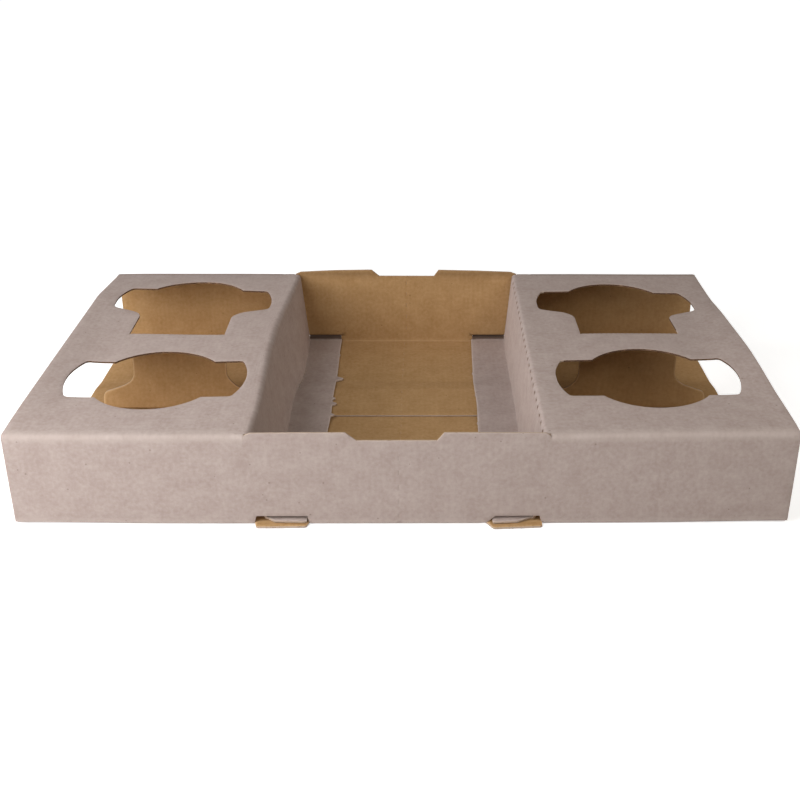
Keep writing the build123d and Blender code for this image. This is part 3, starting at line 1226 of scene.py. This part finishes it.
        name = f"{half.side.name.lower()} {'front' if front else 'back'} lip"
        return Panel(name, [cut], columns, rows, self.fold_lip(half, front), blank, (sign > 0) != front)

    def panels(self) -> list[Panel]:
        """Cuts all panels of the sheet.

        Returns:
            The panels, in the order that their numbers follow.
        """
        found = [self.sleeve_panel()]
        for half in self.halves:
            found += [self.half_panel(half), self.separator_panel(half)]
            found += [self.lip_panel(half, True), self.lip_panel(half, False)]
        return found

    def open_flutes(self, sheet: "Sheet") -> Array:
        """Tells which points lie on a cut that leaves the flutes open.

        Such are the cup holes' edges and the perforations of the top folds. The open edge's dark
        colour is painted shade in the open flutes and in the perforations.

        Args:
            sheet: the folded sheet.

        Returns:
            One truth value for each point.
        """
        found, clear = np.zeros(len(sheet.blank), bool), 0.5
        for half in self.halves:
            for y in (self.holes.front_y, self.holes.rear_y):
                centre = [half.side.value * half.hole_x, self.s_middle + y]
                found |= np.linalg.norm(sheet.blank - centre, axis=1) < self.holes.ear_radius + clear
        return (found & (sheet.panel == SLEEVE)) | self.dotted(sheet)

    def dotted(self, sheet: "Sheet") -> Array:
        """Tells which points lie at the perforations of a half's top fold.

        Args:
            sheet: the folded sheet.

        Returns:
            One truth value for each point.
        """
        found = np.zeros(len(sheet.blank), bool)
        bend_middle = self.weld_x - self.top_fold_flat - self.board.middle_radius * math.pi / 4
        for half, number in zip(self.halves, HALVES):
            apart = np.abs(np.abs(sheet.blank[:, 0]) - (bend_middle - half.top_dots[0]))
            phase = (sheet.blank[:, 1] - self.s_middle + self.wall_end - self.first_dot) / self.dot_pitch
            along = np.abs(phase - np.round(phase)) * self.dot_pitch
            near = (apart < half.top_dots[2]) & (along < 0.6 * half.top_dots[1])
            found |= (sheet.panel == number) & near
        return found

    def crease_wear_and_highlight(self, sheet: "Sheet") -> Array:
        """How pale the liner is at each point, from 0 to 1, along the sleeve's folds.

        A fold is palest in its bend and fades over a few millimetres to both sides, the front
        top fold more slowly on the panel. On the front top fold the paleness is a painted highlight,
        and on the bottom folds the liner is rubbed pale. The back top fold isn't made pale.

        Args:
            sheet: the folded sheet.

        Returns:
            One share for each point.
        """
        x, s = sheet.blank.T
        rubbed_and_lit = np.zeros(len(s))
        # The front top fold's paleness is a painted highlight; the bottom folds are rubbed pale.
        for low, high, before, after in (
            (self.s_front_bottom, self.s_front_wall, 0.8, 0.8), (self.s_front_top, self.s_top, 1.5, 7.0),
            (self.s_back_bottom, self.s_rear_base, 0.8, 0.8),
        ):
            near = np.minimum((s - low) / before, (high - s) / after) + 1.0
            rubbed_and_lit = np.maximum(rubbed_and_lit, np.clip(near, 0.0, 1.0))
        slit, low_part, most = self.slit_at(x, s < self.s_middle), 5.0, 0.35
        free = (np.abs(x) < slit) & (s > self.s_front_wall + low_part) & (s < self.s_back_bottom - low_part)
        return np.where(free, 0.0, most * rubbed_and_lit)

    def edge_wear_and_highlight(self, sheet: "Sheet") -> Array:
        """How pale a cut edge's liner is, from 0 to 1: partly rubbed pale, and partly a painted
        highlight where the crushed edge catches the light.

        The separators and the front lips are palest, then the feet, then the sleeve and the back
        lips. The compartment walls' edges aren't made pale at all.

        Args:
            sheet: the folded sheet.

        Returns:
            One share for each point.
        """
        low = sheet.middle[:, 2] < FOOT_HEIGHT
        palest, half = np.isin(sheet.panel, SEPARATORS + FRONT_LIPS), np.isin(sheet.panel, HALVES)
        # Partly rubbed pale, partly a painted highlight where the crushed edges catch the light.
        return np.select([palest, half & low, half], [1.0, 0.7, 0.0], 0.2)

    def shaded(self, sheet: "Sheet") -> Array:
        """How much painted shade darkens the liner at each point, from 0 to 1.

        The back tabs, in the back wall's shade, are darkest, then the upper edges of their slots,
        the top folds' perforations and the back top fold, which turns away from the lamps.

        Args:
            sheet: the folded sheet.

        Returns:
            One share for each point.
        """
        # Painted shade at the back slots' tabs and upper edges, the top folds' perforations and the back top
        # fold.
        x, s = np.abs(sheet.blank[:, 0]), sheet.blank[:, 1]
        past = sheet.middle[:, 1] > self.wall_end - 0.5 * self.tab_rise
        tab = past & np.isin(sheet.panel, HALVES) & (sheet.middle[:, 2] < FOOT_HEIGHT)
        above = self.s_back_bottom - (self.halves[0].back.slot_height - self.board.tight_radius)
        slot_in, slot_out, clear = 47.0, 77.0, 0.5
        edge = (sheet.panel == SLEEVE) & (x > slot_in) & (x < slot_out) & (np.abs(s - above) < clear)
        fold = np.clip(1.0 - np.abs(s - self.s_back_top) / 4.0, 0.0, 1.0) * (sheet.panel == SLEEVE)
        return np.select([tab, edge, self.dotted(sheet)], [1.0, 0.8, 0.55], 0.4 * fold)

    def warp(self, middle: Array) -> Array:
        """Bends the stiff folded sheet a little out of true, as the photo shows it.

        Each cup panel's height runs from the first warp line, where it is level, through the
        other two to its free end, and on at the same slope past it, so that the averaging keeps
        the end's own height. What hangs from the panels moves with them, less and less towards
        the base. The walls bulge a little, and the front wall's foot bows out. Sums of sine waves
        whose lengths don't match keep the large faces from being quite flat.

        Args:
            middle: points in space, one to a row.

        Returns:
            The moved points.
        """
        x, y, z = middle.T
        above_base, high = np.clip(z / self.height, 0.0, 1.0), np.clip(z / self.height, 0.0, 1.05)
        lift = np.zeros_like(x)
        reach, steps, blur, end_blur = 8.0, 5, 9.0, 5.0
        lines = np.array([*self.warp_lines, self.half_length, self.half_length + reach])
        for half in self.halves:
            away = x * half.side.value
            sway, crown = smooth_knots(y, half.sway, blur), smooth_knots(y, half.crown, blur)
            end = smooth_knots(y, half.free_end, end_blur)
            past = end + (end - crown) * (lines[4] - lines[3]) / (lines[3] - lines[2])
            heights = [np.zeros_like(x), sway, crown, end, past]
            for shift in np.linspace(-reach, reach, steps):
                for i in range(len(lines) - 1):
                    share = (away + shift - lines[i]) / (lines[i + 1] - lines[i])
                    here = (share >= 0) & (share < 1)
                    height = heights[i] + share * (heights[i + 1] - heights[i])
                    lift += np.where(here, height, 0.0) / steps
                lift += np.where(away + shift >= lines[-1], past, 0.0) / steps
        wave = 0.08 * np.sin(x / 37 + 1.3) * np.sin(y / 29 + 0.4) + 0.05 * np.sin(x / 17 - y / 23)
        near_wall = smooth_step(np.abs(y), 116.0, 120.0)
        bulge = 0.30 * np.sin(x / 61 + 0.8) + 0.10 * np.sin(x / 19 + 2.0)
        bulge = bulge * np.sin(math.pi * above_base)
        foot = 1.0 - above_base
        in_front = smooth_step(-y, 70.0, 118.0)
        corner = self.corner_lift * smooth_step(np.abs(x), 120.0, 205.0) * in_front
        moved = middle.copy()
        moved[:, 2] += high * (lift + wave * (1 - near_wall)) + corner * np.where(x < 0, foot, 1.0)
        bow = np.clip(self.foot_bow * (1 - (x / 150) ** 2), -0.3, self.foot_bow)
        moved[:, 1] += near_wall * bulge - foot * bow * in_front
        return moved


@dataclass
class Sheet:
    """The middle of the folded sheet, as one surface of welded triangles.

    blank: places on the flat blank. middle: places in space. panel: the panel's number.
    triangles: corners, which run anticlockwise seen from the outer face.
    """

    blank: Array
    middle: Array
    panel: Array
    triangles: Array

    @classmethod
    def of(cls, panels: list[Panel]) -> "Sheet":
        """Triangulates and folds the panels, and joins them side by side.

        Args:
            panels: the panels, in the order of their numbers.

        Returns:
            The sheet, with its panels' points not yet welded.
        """
        blank, middle, number, triangles, count = [], [], [], [], 0
        for place, panel in enumerate(panels):
            flat, corners = panel.triangulate()
            blank.append(panel.blank(flat))
            middle.append(panel.fold(flat[:, 0], flat[:, 1]))
            number.append(np.full(len(flat), place))
            triangles.append((corners[:, ::-1] if panel.flipped else corners) + count)
            count += len(flat)
            LOG.info("%s: %d points, %d triangles", panel.name, len(flat), len(corners))
        return cls(np.vstack(blank), np.vstack(middle), np.concatenate(number), np.vstack(triangles))

    def weld(self, near: float = 2e-3) -> None:
        """Makes one point of the points that lie together.

        Points in one cell of a grid are joined, first for one grid and then for one that is
        shifted by half a cell, so that no two points stay apart across a cell's border.

        Args:
            near: the cells' size.
        """
        for shift in (0.0, 0.5):
            cells = np.floor(self.middle / near + shift).astype(np.int64)
            _, first, where = np.unique(cells, axis=0, return_index=True, return_inverse=True)
            self.keep(first)
            self.triangles = where.ravel()[self.triangles]
        a, b, c = self.triangles.T
        self.triangles = self.triangles[(a != b) & (b != c) & (c != a)]
        used, where = np.unique(self.triangles, return_inverse=True)
        self.keep(used)
        self.triangles = where.reshape(-1, 3)

    def keep(self, points: Array) -> None:
        """Keeps the given points, in that order."""
        self.blank, self.middle, self.panel = self.blank[points], self.middle[points], self.panel[points]

    def normals(self) -> Array:
        """Unit normals at the points, towards the outer face, as the sum of the triangles' own.

        Returns:
            One vector for each point.
        """
        a, b, c = (self.middle[self.triangles[:, k]] for k in range(3))
        square = np.cross(b - a, c - a)
        total = np.zeros_like(self.middle)
        for k in range(3):
            np.add.at(total, self.triangles[:, k], square)
        return unit(total)

    def rim_edges(self) -> Array:
        """Directed edges that only one triangle has, with the board on their left.

        Returns:
            The edges' two points, one edge to a row.
        """
        edges = np.vstack([self.triangles[:, [0, 1]], self.triangles[:, [1, 2]], self.triangles[:, [2, 0]]])
        count = len(self.middle)
        key = edges.min(axis=1) * count + edges.max(axis=1)
        _, where, times = np.unique(key, return_inverse=True, return_counts=True)
        if times.max() > 2:
            LOG.warning("%d edges have more than two triangles", int((times > 2).sum()))
        return edges[times[where.ravel()] == 1]


def unit(vectors: Array) -> Array:
    """Vectors scaled to length one."""
    return vectors / np.maximum(np.linalg.norm(vectors, axis=1, keepdims=True), 1e-12)


@dataclass
class Shell:
    """The board's closed surface, built on both sides of its middle.

    opened: tells at which points a cut leaves the flutes open, whose edge gets painted shade.
    rubbed_and_lit, worn_and_lit: how pale the liner is at each point, and at cut edges, partly
    rubbed and partly a painted highlight. shaded: how much painted shade darkens it there. levels:
    rows of points down a cut edge, as shares of half its thickness. raggedness: how unevenly the
    middle of a cut edge stands out, as a standard deviation. seed: of those random draws.
    sharp_angle: between faces that are shaded apart, in degrees.
    """

    sheet: Sheet
    board: Board
    opened: Array
    rubbed_and_lit: Array
    worn_and_lit: Array
    shaded: Array
    levels: tuple[float, ...] = (1.0, 0.45, -0.45, -1.0)
    raggedness: float = 0.018
    seed: int = 7
    sharp_angle: float = 38.0

    def build(self, name: str, materials: list[bpy.types.Material]) -> bpy.types.Object:
        """Makes the mesh object.

        The faces lie half a thickness to both sides of the middle, less at cut edges, and rows of
        points between them follow the edges, bulging by 1 less the level's square.

        Args:
            name: the object's name.
            materials: for the outer face, the inner face, the cut edges and the open ones.

        Returns:
            The object, linked to the scene.
        """
        sheet, half = self.sheet, self.board.thickness / 2
        normals, edges = sheet.normals(), sheet.rim_edges()
        count = len(sheet.middle)
        rim = np.unique(edges)
        half_here = np.full(count, half)
        half_here[rim] *= self.board.pinch
        across = normals * half_here[:, None]
        outward = np.zeros_like(sheet.middle)
        along = sheet.middle[edges[:, 1]] - sheet.middle[edges[:, 0]]
        for k in range(2):
            np.add.at(outward, edges[:, k], np.cross(along, normals[edges[:, k]]))
        outward = unit(outward)
        # Paleness: rubbed folds and edges, with a painted highlight on the front top fold and crushed edges.
        worn_and_lit = self.rubbed_and_lit.copy()
        worn_and_lit[rim] = self.worn_and_lit[rim]
        points = [sheet.middle + across, sheet.middle - across]
        depth = [np.ones(count), -np.ones(count)]
        blank = [sheet.blank, sheet.blank]
        place = np.zeros(count, np.int64)
        place[rim] = np.arange(len(rim))
        rows = {1.0: lambda i: i, -1.0: lambda i: i + count}
        random = np.random.default_rng(self.seed)
        for number, level in enumerate(self.levels[1:-1]):
            ragged = random.normal(0.0, self.raggedness, len(rim))
            out = self.board.bulge * (1 - level * level) + ragged
            points.append(sheet.middle[rim] + across[rim] * level + outward[rim] * out[:, None])
            depth.append(np.full(len(rim), level))
            blank.append(sheet.blank[rim])
            first = 2 * count + number * len(rim)
            rows[level] = lambda i, first=first: first + place[i]
        faces = [sheet.triangles, sheet.triangles[:, ::-1] + count]
        kinds = [np.full(len(sheet.triangles), face.value) for face in (Face.OUTER, Face.INNER)]
        a, b = edges.T
        for upper, lower in zip(self.levels, self.levels[1:]):
            corner = [rows[upper](b), rows[upper](a), rows[lower](a), rows[lower](b)]
            faces += [np.column_stack([corner[0], corner[1], corner[2]]),
                      np.column_stack([corner[0], corner[2], corner[3]])]
            kinds += [np.where(self.opened[a], Face.OPEN.value, Face.CUT.value)] * 2
        vertices, triangles = np.vstack(points) * MM, np.vstack(faces)
        mesh = bpy.data.meshes.new(name)
        mesh.vertices.add(len(vertices))
        mesh.vertices.foreach_set("co", vertices.ravel())
        mesh.loops.add(triangles.size)
        mesh.loops.foreach_set("vertex_index", triangles.ravel())
        mesh.polygons.add(len(triangles))
        mesh.polygons.foreach_set("loop_start", np.arange(0, triangles.size, 3))
        for material in materials:
            mesh.materials.append(material)
        mesh.polygons.foreach_set("material_index", np.concatenate(kinds))
        mesh.update(calc_edges=True)
        layer = mesh.uv_layers.new(name="blank")
        layer.uv.foreach_set("vector", (np.vstack(blank)[triangles.ravel()] * MM).ravel())
        on_edge = (len(self.levels) - 2) * len(rim)
        # These shares carry the painted highlight and the painted shade to the liners.
        for label, values in (
            ("depth", np.concatenate(depth)),
            ("worn_and_lit", np.concatenate([worn_and_lit, worn_and_lit, np.ones(on_edge)])),
            ("shaded", np.concatenate([self.shaded, self.shaded, np.zeros(on_edge)])),
        ):
            mesh.attributes.new(label, "FLOAT", "POINT").data.foreach_set("value", values)
        mesh.shade_smooth()
        mesh.set_sharp_from_angle(angle=math.radians(self.sharp_angle))
        mesh.validate()
        LOG.info("%s: %d vertices, %d triangles", name, len(vertices), len(triangles))
        piece = bpy.data.objects.new(name, mesh)
        bpy.context.scene.collection.objects.link(piece)
        return piece


# What a node's input is given: another node's output, a number, a colour or a vector.
Given = bpy.types.NodeSocket | float | tuple


class Shader:
    """A material's node tree, with short ways to add and join nodes."""

    def __init__(self, name: str) -> None:
        """Starts an empty material of that name, with its output."""
        self.material = bpy.data.materials.new(name)
        self.material.use_nodes = True
        self.tree = self.material.node_tree
        self.tree.nodes.clear()
        self.output = self.node("ShaderNodeOutputMaterial")

    def node(self, kind: str, inputs: dict | None = None, **settings: Given | str) -> bpy.types.Node:
        """Adds a node.

        Args:
            kind: the node's type.
            inputs: by name or place, a value or another node's output.
            settings: the node's own properties.

        Returns:
            The node.
        """
        made = self.tree.nodes.new(kind)
        for key, value in settings.items():
            setattr(made, key, value)
        for key, value in (inputs or {}).items():
            if isinstance(value, bpy.types.NodeSocket):
                self.tree.links.new(value, made.inputs[key])
            else:
                made.inputs[key].default_value = value
        return made

    def math(self, operation: str, *values: Given) -> bpy.types.NodeSocket:
        """Adds a math node and gives its output."""
        return self.node("ShaderNodeMath", dict(enumerate(values)), operation=operation).outputs[0]

    def noise(self, scale: float, detail: float = 2.0, rough: float = 0.5,
              stretch: tuple[float, float, float] = (1.0, 1.0, 1.0)) -> bpy.types.NodeSocket:
        """Adds a noise texture on the blank and gives its value."""
        inputs = {"Vector": self.place(stretch), "Scale": scale, "Detail": detail, "Roughness": rough}
        return self.node("ShaderNodeTexNoise", inputs).outputs["Fac"]

    def attribute(self, name: str) -> bpy.types.NodeSocket:
        """Gives a value that the mesh holds at its points."""
        return self.node("ShaderNodeAttribute", attribute_name=name).outputs["Fac"]

    def wave(self, pitch: float) -> bpy.types.NodeSocket:
        """Gives the sine of the place across the blank, once round for each pitch."""
        across = self.node("ShaderNodeSeparateXYZ", {"Vector": self.place()}).outputs["X"]
        return self.math("SINE", self.math("MULTIPLY", across, math.tau / (pitch * MM)))

    def spread(self, value: Given, low: float, high: float, to_low: float,
               to_high: float) -> bpy.types.NodeSocket:
        """Maps a range of values to another, and stays within it."""
        inputs = {"Value": value, "From Min": low, "From Max": high, "To Min": to_low, "To Max": to_high}
        return self.node("ShaderNodeMapRange", inputs).outputs["Result"]

    def mix(self, share: Given, first: Given, second: Given) -> bpy.types.NodeSocket:
        """Mixes two colours, by the second one's share. The node's colours are inputs 6 and 7."""
        return self.node("ShaderNodeMix", {0: share, 6: first, 7: second}, data_type="RGBA").outputs[2]

    def place(self, stretch: tuple[float, float, float] = (1.0, 1.0, 1.0)) -> bpy.types.NodeSocket:
        """Gives the place on the blank, in metres, stretched along its directions."""
        uv = self.node("ShaderNodeUVMap", uv_map="blank").outputs["UV"]
        return self.node("ShaderNodeMapping", {"Vector": uv, "Scale": stretch}).outputs["Vector"]

    def finish(self, shader: bpy.types.NodeSocket) -> bpy.types.Material:
        """Joins the shader to the output and gives the material."""
        self.tree.links.new(shader, self.output.inputs["Surface"])
        return self.material


def srgb(red: float, green: float, blue: float) -> tuple[float, float, float, float]:
    """Linear colour of a screen colour, by the screen's own curve.

    Args:
        red, green, blue: the screen colour's shares, from 0 to 255.

    Returns:
        The linear shares, from 0 to 1, and a full alpha.
    """
    values = [v / 255 / 12.92 if v / 255 <= 0.04045 else ((v / 255 + 0.055) / 1.055) ** 2.4
              for v in (red, green, blue)]
    return (*values, 1.0)


@dataclass(frozen=True)
class Paper:
    """A liner's look.

    pale, dark, fleck, rubbed_and_lit: its colours, in flecks, and where it is rubbed pale and
    where a highlight is painted on it, as well. mottle, fibre, streak: how much the clouds and
    grain, the fibres and the flutes show. fleck_share: share of the places where a fleck may lie
    that have one.
    """

    pale: tuple
    dark: tuple
    fleck: tuple
    rubbed_and_lit: tuple
    mottle: float
    fibre: float
    streak: float
    fleck_share: float


def liner(name: str, paper: Paper, board: Board) -> bpy.types.Material:
    """Recycled paper: soft clouds, short fibres, small flecks and the flutes showing through.

    Painted highlight and painted shade are mixed in by the mesh's shares.

    Args:
        name: the material's name.
        paper: the liner's look.
        board: the board that it covers.

    Returns:
        The material.
    """
    s = Shader(name)
    clouds = s.noise(90.0, 3.0, 0.6)
    grain = s.noise(420.0, 2.0, 0.6)
    fibres = s.noise(900.0, 2.0, 0.7, (1.0, 0.35, 1.0))
    flute = s.wave(board.flute_pitch)
    cloudy = s.math("MULTIPLY", s.math("SUBTRACT", clouds, 0.5), paper.mottle)
    grainy = s.math("MULTIPLY", s.math("SUBTRACT", grain, 0.5), paper.mottle)
    fibrous = s.math("MULTIPLY", s.math("SUBTRACT", fibres, 0.5), paper.fibre)
    tone = s.math("ADD", s.math("ADD", cloudy, grainy), fibrous)
    tone = s.math("ADD", tone, s.math("MULTIPLY", flute, paper.streak))
    colour = s.mix(s.spread(tone, -0.5, 0.5, 0.0, 1.0), paper.dark, paper.pale)
    cells = s.node("ShaderNodeTexVoronoi", {"Vector": s.place(), "Scale": 520.0, "Randomness": 1.0})
    chance = s.node("ShaderNodeSeparateColor", {"Color": cells.outputs["Color"]}).outputs[0]
    small = s.math("LESS_THAN", cells.outputs["Distance"], 0.26)
    fleck = s.math("MULTIPLY", small, s.math("LESS_THAN", chance, paper.fleck_share))
    colour = s.mix(s.math("MULTIPLY", fleck, 0.4), colour, paper.fleck)
    # Pale colour from rubbing, and painted highlight on the front top fold and crushed edges.
    colour = s.mix(s.spread(s.attribute("worn_and_lit"), 0.1, 1.0, 0.0, 0.75), colour, paper.rubbed_and_lit)
    # Painted shade: dark brown mixed in at the back tabs, slot edges, perforations and back top fold.
    colour = s.mix(s.math("MULTIPLY", s.attribute("shaded"), 0.85), colour, srgb(72, 52, 36))
    height = s.math("ADD", s.math("MULTIPLY", fibres, 0.35), s.math("MULTIPLY", grain, 0.5))
    height = s.math("ADD", height, s.math("MULTIPLY", flute, 0.35))
    bump = s.node("ShaderNodeBump", {"Height": height, "Strength": 0.25, "Distance": 0.00012})
    shader = s.node("ShaderNodeBsdfPrincipled", {
        "Base Color": colour, "Roughness": 0.9, "Specular IOR Level": 0.08,
        "Normal": bump.outputs["Normal"],
    })
    return s.finish(shader.outputs["BSDF"])


def cut_edge(name: str, board: Board, crushed: float, pale: tuple, dark: tuple) -> bpy.types.Material:
    """A cut edge: both liners and the wave of the fluting, with dark gaps between them.

    The gaps' dark colour is painted shade in the hollows of the fluting.

    Args:
        name: the material's name.
        board: the board.
        crushed: share of the edge that the knife has pressed shut.
        pale: colour of the pressed paper.
        dark: colour of the gaps, as painted shade.

    Returns:
        The material.
    """
    s = Shader(name)
    depth, crest = s.attribute("depth"), 0.62
    wave = s.math("MULTIPLY", s.wave(board.flute_pitch), crest)
    medium = s.math("LESS_THAN", s.math("ABSOLUTE", s.math("SUBTRACT", depth, wave)), 0.34)
    face = s.math("GREATER_THAN", s.math("ABSOLUTE", depth), crest)
    paper = s.math("MULTIPLY", s.math("MAXIMUM", medium, face), 0.55 + 0.45 * crushed)
    pressed = s.spread(s.noise(260.0), 0.62 - 0.4 * crushed, 0.78 - 0.4 * crushed, 0.0, 1.0)
    soiled = tuple(0.8 * v for v in pale[:3]) + (1.0,)
    colour = s.mix(s.math("MAXIMUM", paper, pressed), dark, s.mix(s.noise(1400.0), soiled, pale))
    shader = s.node("ShaderNodeBsdfPrincipled", {
        "Base Color": colour, "Roughness": 0.92, "Specular IOR Level": 0.15,
    })
    return s.finish(shader.outputs["BSDF"])


@dataclass(frozen=True)
class Softbox:
    """A square lamp: where it stands, what it looks at, its size in metres and its power."""

    name: str
    at: tuple[float, float, float]
    towards: tuple[float, float, float]
    size: float
    power: float
    colour: tuple[float, float, float] = (1.0, 1.0, 1.0)

    def add(self) -> None:
        """Adds the lamp to the scene."""
        lamp = bpy.data.lights.new(self.name, "AREA")
        lamp.shape, lamp.size, lamp.energy, lamp.color = "SQUARE", self.size, self.power, self.colour
        made = bpy.data.objects.new(self.name, lamp)
        made.location = self.at
        made.rotation_mode = "QUATERNION"
        made.rotation_quaternion = (Vector(self.towards) - Vector(self.at)).to_track_quat("-Z", "Y")
        bpy.context.scene.collection.objects.link(made)


@dataclass(frozen=True)
class Pinhole:
    """The photo's camera: its place in millimetres, its turns in degrees and its lens in pixels.

    The photo is framed off the lens's axis, so centre gives the axis's pixel and the sensor is
    shifted to it.
    """

    at: tuple[float, float, float] = (9.4, -607.3, 330.8)
    pitch: float = 23.246
    yaw: float = 0.605
    roll: float = -0.244
    focal: float = 1061.8
    centre: tuple[float, float] = (430.4, 319.1)
    pixels: int = 800

    def add(self) -> None:
        """Adds the camera and makes it the scene's."""
        data = bpy.data.cameras.new("camera")
        data.sensor_width = 36.0
        data.lens = self.focal / self.pixels * data.sensor_width
        data.shift_x = 0.5 - self.centre[0] / self.pixels
        data.shift_y = self.centre[1] / self.pixels - 0.5
        camera = bpy.data.objects.new("camera", data)
        camera.location = Vector(self.at) * MM
        pitch, yaw, roll = (math.radians(v) for v in (self.pitch, self.yaw, self.roll))
        ahead = math.cos(pitch)
        forward = Vector((math.sin(yaw) * ahead, math.cos(yaw) * ahead, -math.sin(pitch)))
        level = Vector((math.cos(yaw), -math.sin(yaw), 0.0))
        down = forward.cross(level)
        right = math.cos(roll) * level + math.sin(roll) * down
        back = -forward
        up = back.cross(right)
        matrix = np.column_stack([right, up, back])
        camera.rotation_mode = "QUATERNION"
        camera.rotation_quaternion = Matrix(matrix.tolist()).to_quaternion()
        bpy.context.scene.collection.objects.link(camera)
        bpy.context.scene.camera = camera


def add_floor() -> bpy.types.Object:
    """A pale floor that the camera sees as white, with the carrier's soft shadow on it.

    Its glow is weaker near the carrier, so that the shadow shows.

    Returns:
        The floor's object.
    """
    s = Shader("floor")
    diffuse = s.node("ShaderNodeBsdfDiffuse", {"Color": (0.82, 0.82, 0.82, 1.0)})
    place = s.node("ShaderNodeTexCoord").outputs["Object"]
    away = s.node("ShaderNodeVectorMath", {0: place}, operation="LENGTH").outputs["Value"]
    strength = s.spread(away, 0.35, 0.8, 0.62, 1.0)
    glow = s.node("ShaderNodeEmission", {"Color": (1.0, 1.0, 1.0, 1.0), "Strength": strength})
    both = s.node("ShaderNodeAddShader", {0: diffuse.outputs[0], 1: glow.outputs[0]})
    seen = s.node("ShaderNodeLightPath").outputs["Is Camera Ray"]
    mixed = s.node("ShaderNodeMixShader", {0: seen, 1: diffuse.outputs[0], 2: both.outputs[0]})
    material = s.finish(mixed.outputs[0])
    mesh = bpy.data.meshes.new("floor")
    reach = 6.0
    square = [(-reach, -reach, 0), (reach, -reach, 0), (reach, reach, 0), (-reach, reach, 0)]
    mesh.from_pydata(square, [], [(0, 1, 2, 3)])
    mesh.materials.append(material)
    floor = bpy.data.objects.new("floor", mesh)
    floor.location.z = -0.2 * MM
    bpy.context.scene.collection.objects.link(floor)
    return floor


def set_world() -> None:
    """A white surround: plain white for the camera, and a faint light for the rest."""
    world = bpy.data.worlds.new("surround")
    world.use_nodes = True
    tree = world.node_tree
    tree.nodes.clear()
    output = tree.nodes.new("ShaderNodeOutputWorld")
    seen = tree.nodes.new("ShaderNodeLightPath")
    light, white = tree.nodes.new("ShaderNodeBackground"), tree.nodes.new("ShaderNodeBackground")
    light.inputs["Color"].default_value = (0.97, 0.98, 1.0, 1.0)
    light.inputs["Strength"].default_value = 0.03
    white.inputs["Strength"].default_value = 1.05
    mixed = tree.nodes.new("ShaderNodeMixShader")
    tree.links.new(seen.outputs["Is Camera Ray"], mixed.inputs[0])
    tree.links.new(light.outputs[0], mixed.inputs[1])
    tree.links.new(white.outputs[0], mixed.inputs[2])
    tree.links.new(mixed.outputs[0], output.inputs["Surface"])
    bpy.context.scene.world = world


# Lamps stand in metres and have watts. Those on the right are warmer.
AIM = (0.0, -0.05, 0.02)
WARM = (1.0, 0.955, 0.88)
LAMPS = (
    Softbox("near left", (-0.45, -0.55, 0.25), AIM, 0.30, 1.28),
    Softbox("left", (-0.75, -0.45, 0.35), AIM, 0.40, 2.80),
    Softbox("far left", (-1.2, 0.1, 0.6), AIM, 0.60, 5.04),
    Softbox("left end", (-0.9, 0.0, 0.25), AIM, 0.50, 0.62),
    Softbox("over left", (-0.4, -0.35, 0.6), AIM, 0.35, 2.33),
    Softbox("over right", (0.45, -0.5, 0.7), AIM, 0.35, 1.69, WARM),
    Softbox("right", (0.9, -1.0, 0.7), AIM, 0.60, 1.43, WARM),
    Softbox("back right", (1.1, 0.3, 0.7), AIM, 0.60, 2.54, WARM),
)


def main() -> None:
    """Builds the carrier, the studio and the camera."""
    logging.basicConfig(level=logging.INFO, format="%(name)s: %(message)s")
    carrier = Carrier()
    sheet = Sheet.of(carrier.panels())
    sheet.weld()
    sheet.middle = carrier.warp(sheet.middle)
    # Each paper's last colour is for rubbed places and for painted highlights.
    grey = Paper(srgb(183, 168, 162), srgb(167, 150, 143), srgb(96, 80, 74), srgb(214, 202, 194),
                 mottle=1.6, fibre=0.35, streak=0.03, fleck_share=0.010)
    kraft = Paper(srgb(187, 152, 110), srgb(163, 127, 84), srgb(92, 62, 38), srgb(214, 182, 142),
                  mottle=1.04, fibre=0.3, streak=0.03, fleck_share=0.008)
    materials = [
        liner("grey liner", grey, carrier.board),
        liner("kraft liner", kraft, carrier.board),
        cut_edge("cut edge", carrier.board, 0.9, srgb(193, 173, 156), srgb(132, 104, 80)),
        # The open edge's dark colours are painted shade in the open flutes.
        cut_edge("open edge", carrier.board, 0.2, srgb(150, 120, 96), srgb(66, 46, 32)),
    ]
    shell = Shell(sheet, carrier.board, carrier.open_flutes(sheet), carrier.crease_wear_and_highlight(sheet),
                  carrier.edge_wear_and_highlight(sheet), carrier.shaded(sheet))
    piece = shell.build("folded_board", materials)
    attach(piece, "root")
    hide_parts("cup_carrier")
    add_floor()
    set_world()
    for lamp in LAMPS:
        lamp.add()
    Pinhole().add()
    bpy.context.scene.view_settings.view_transform = "Standard"


if __name__ == "__main__":
    main()
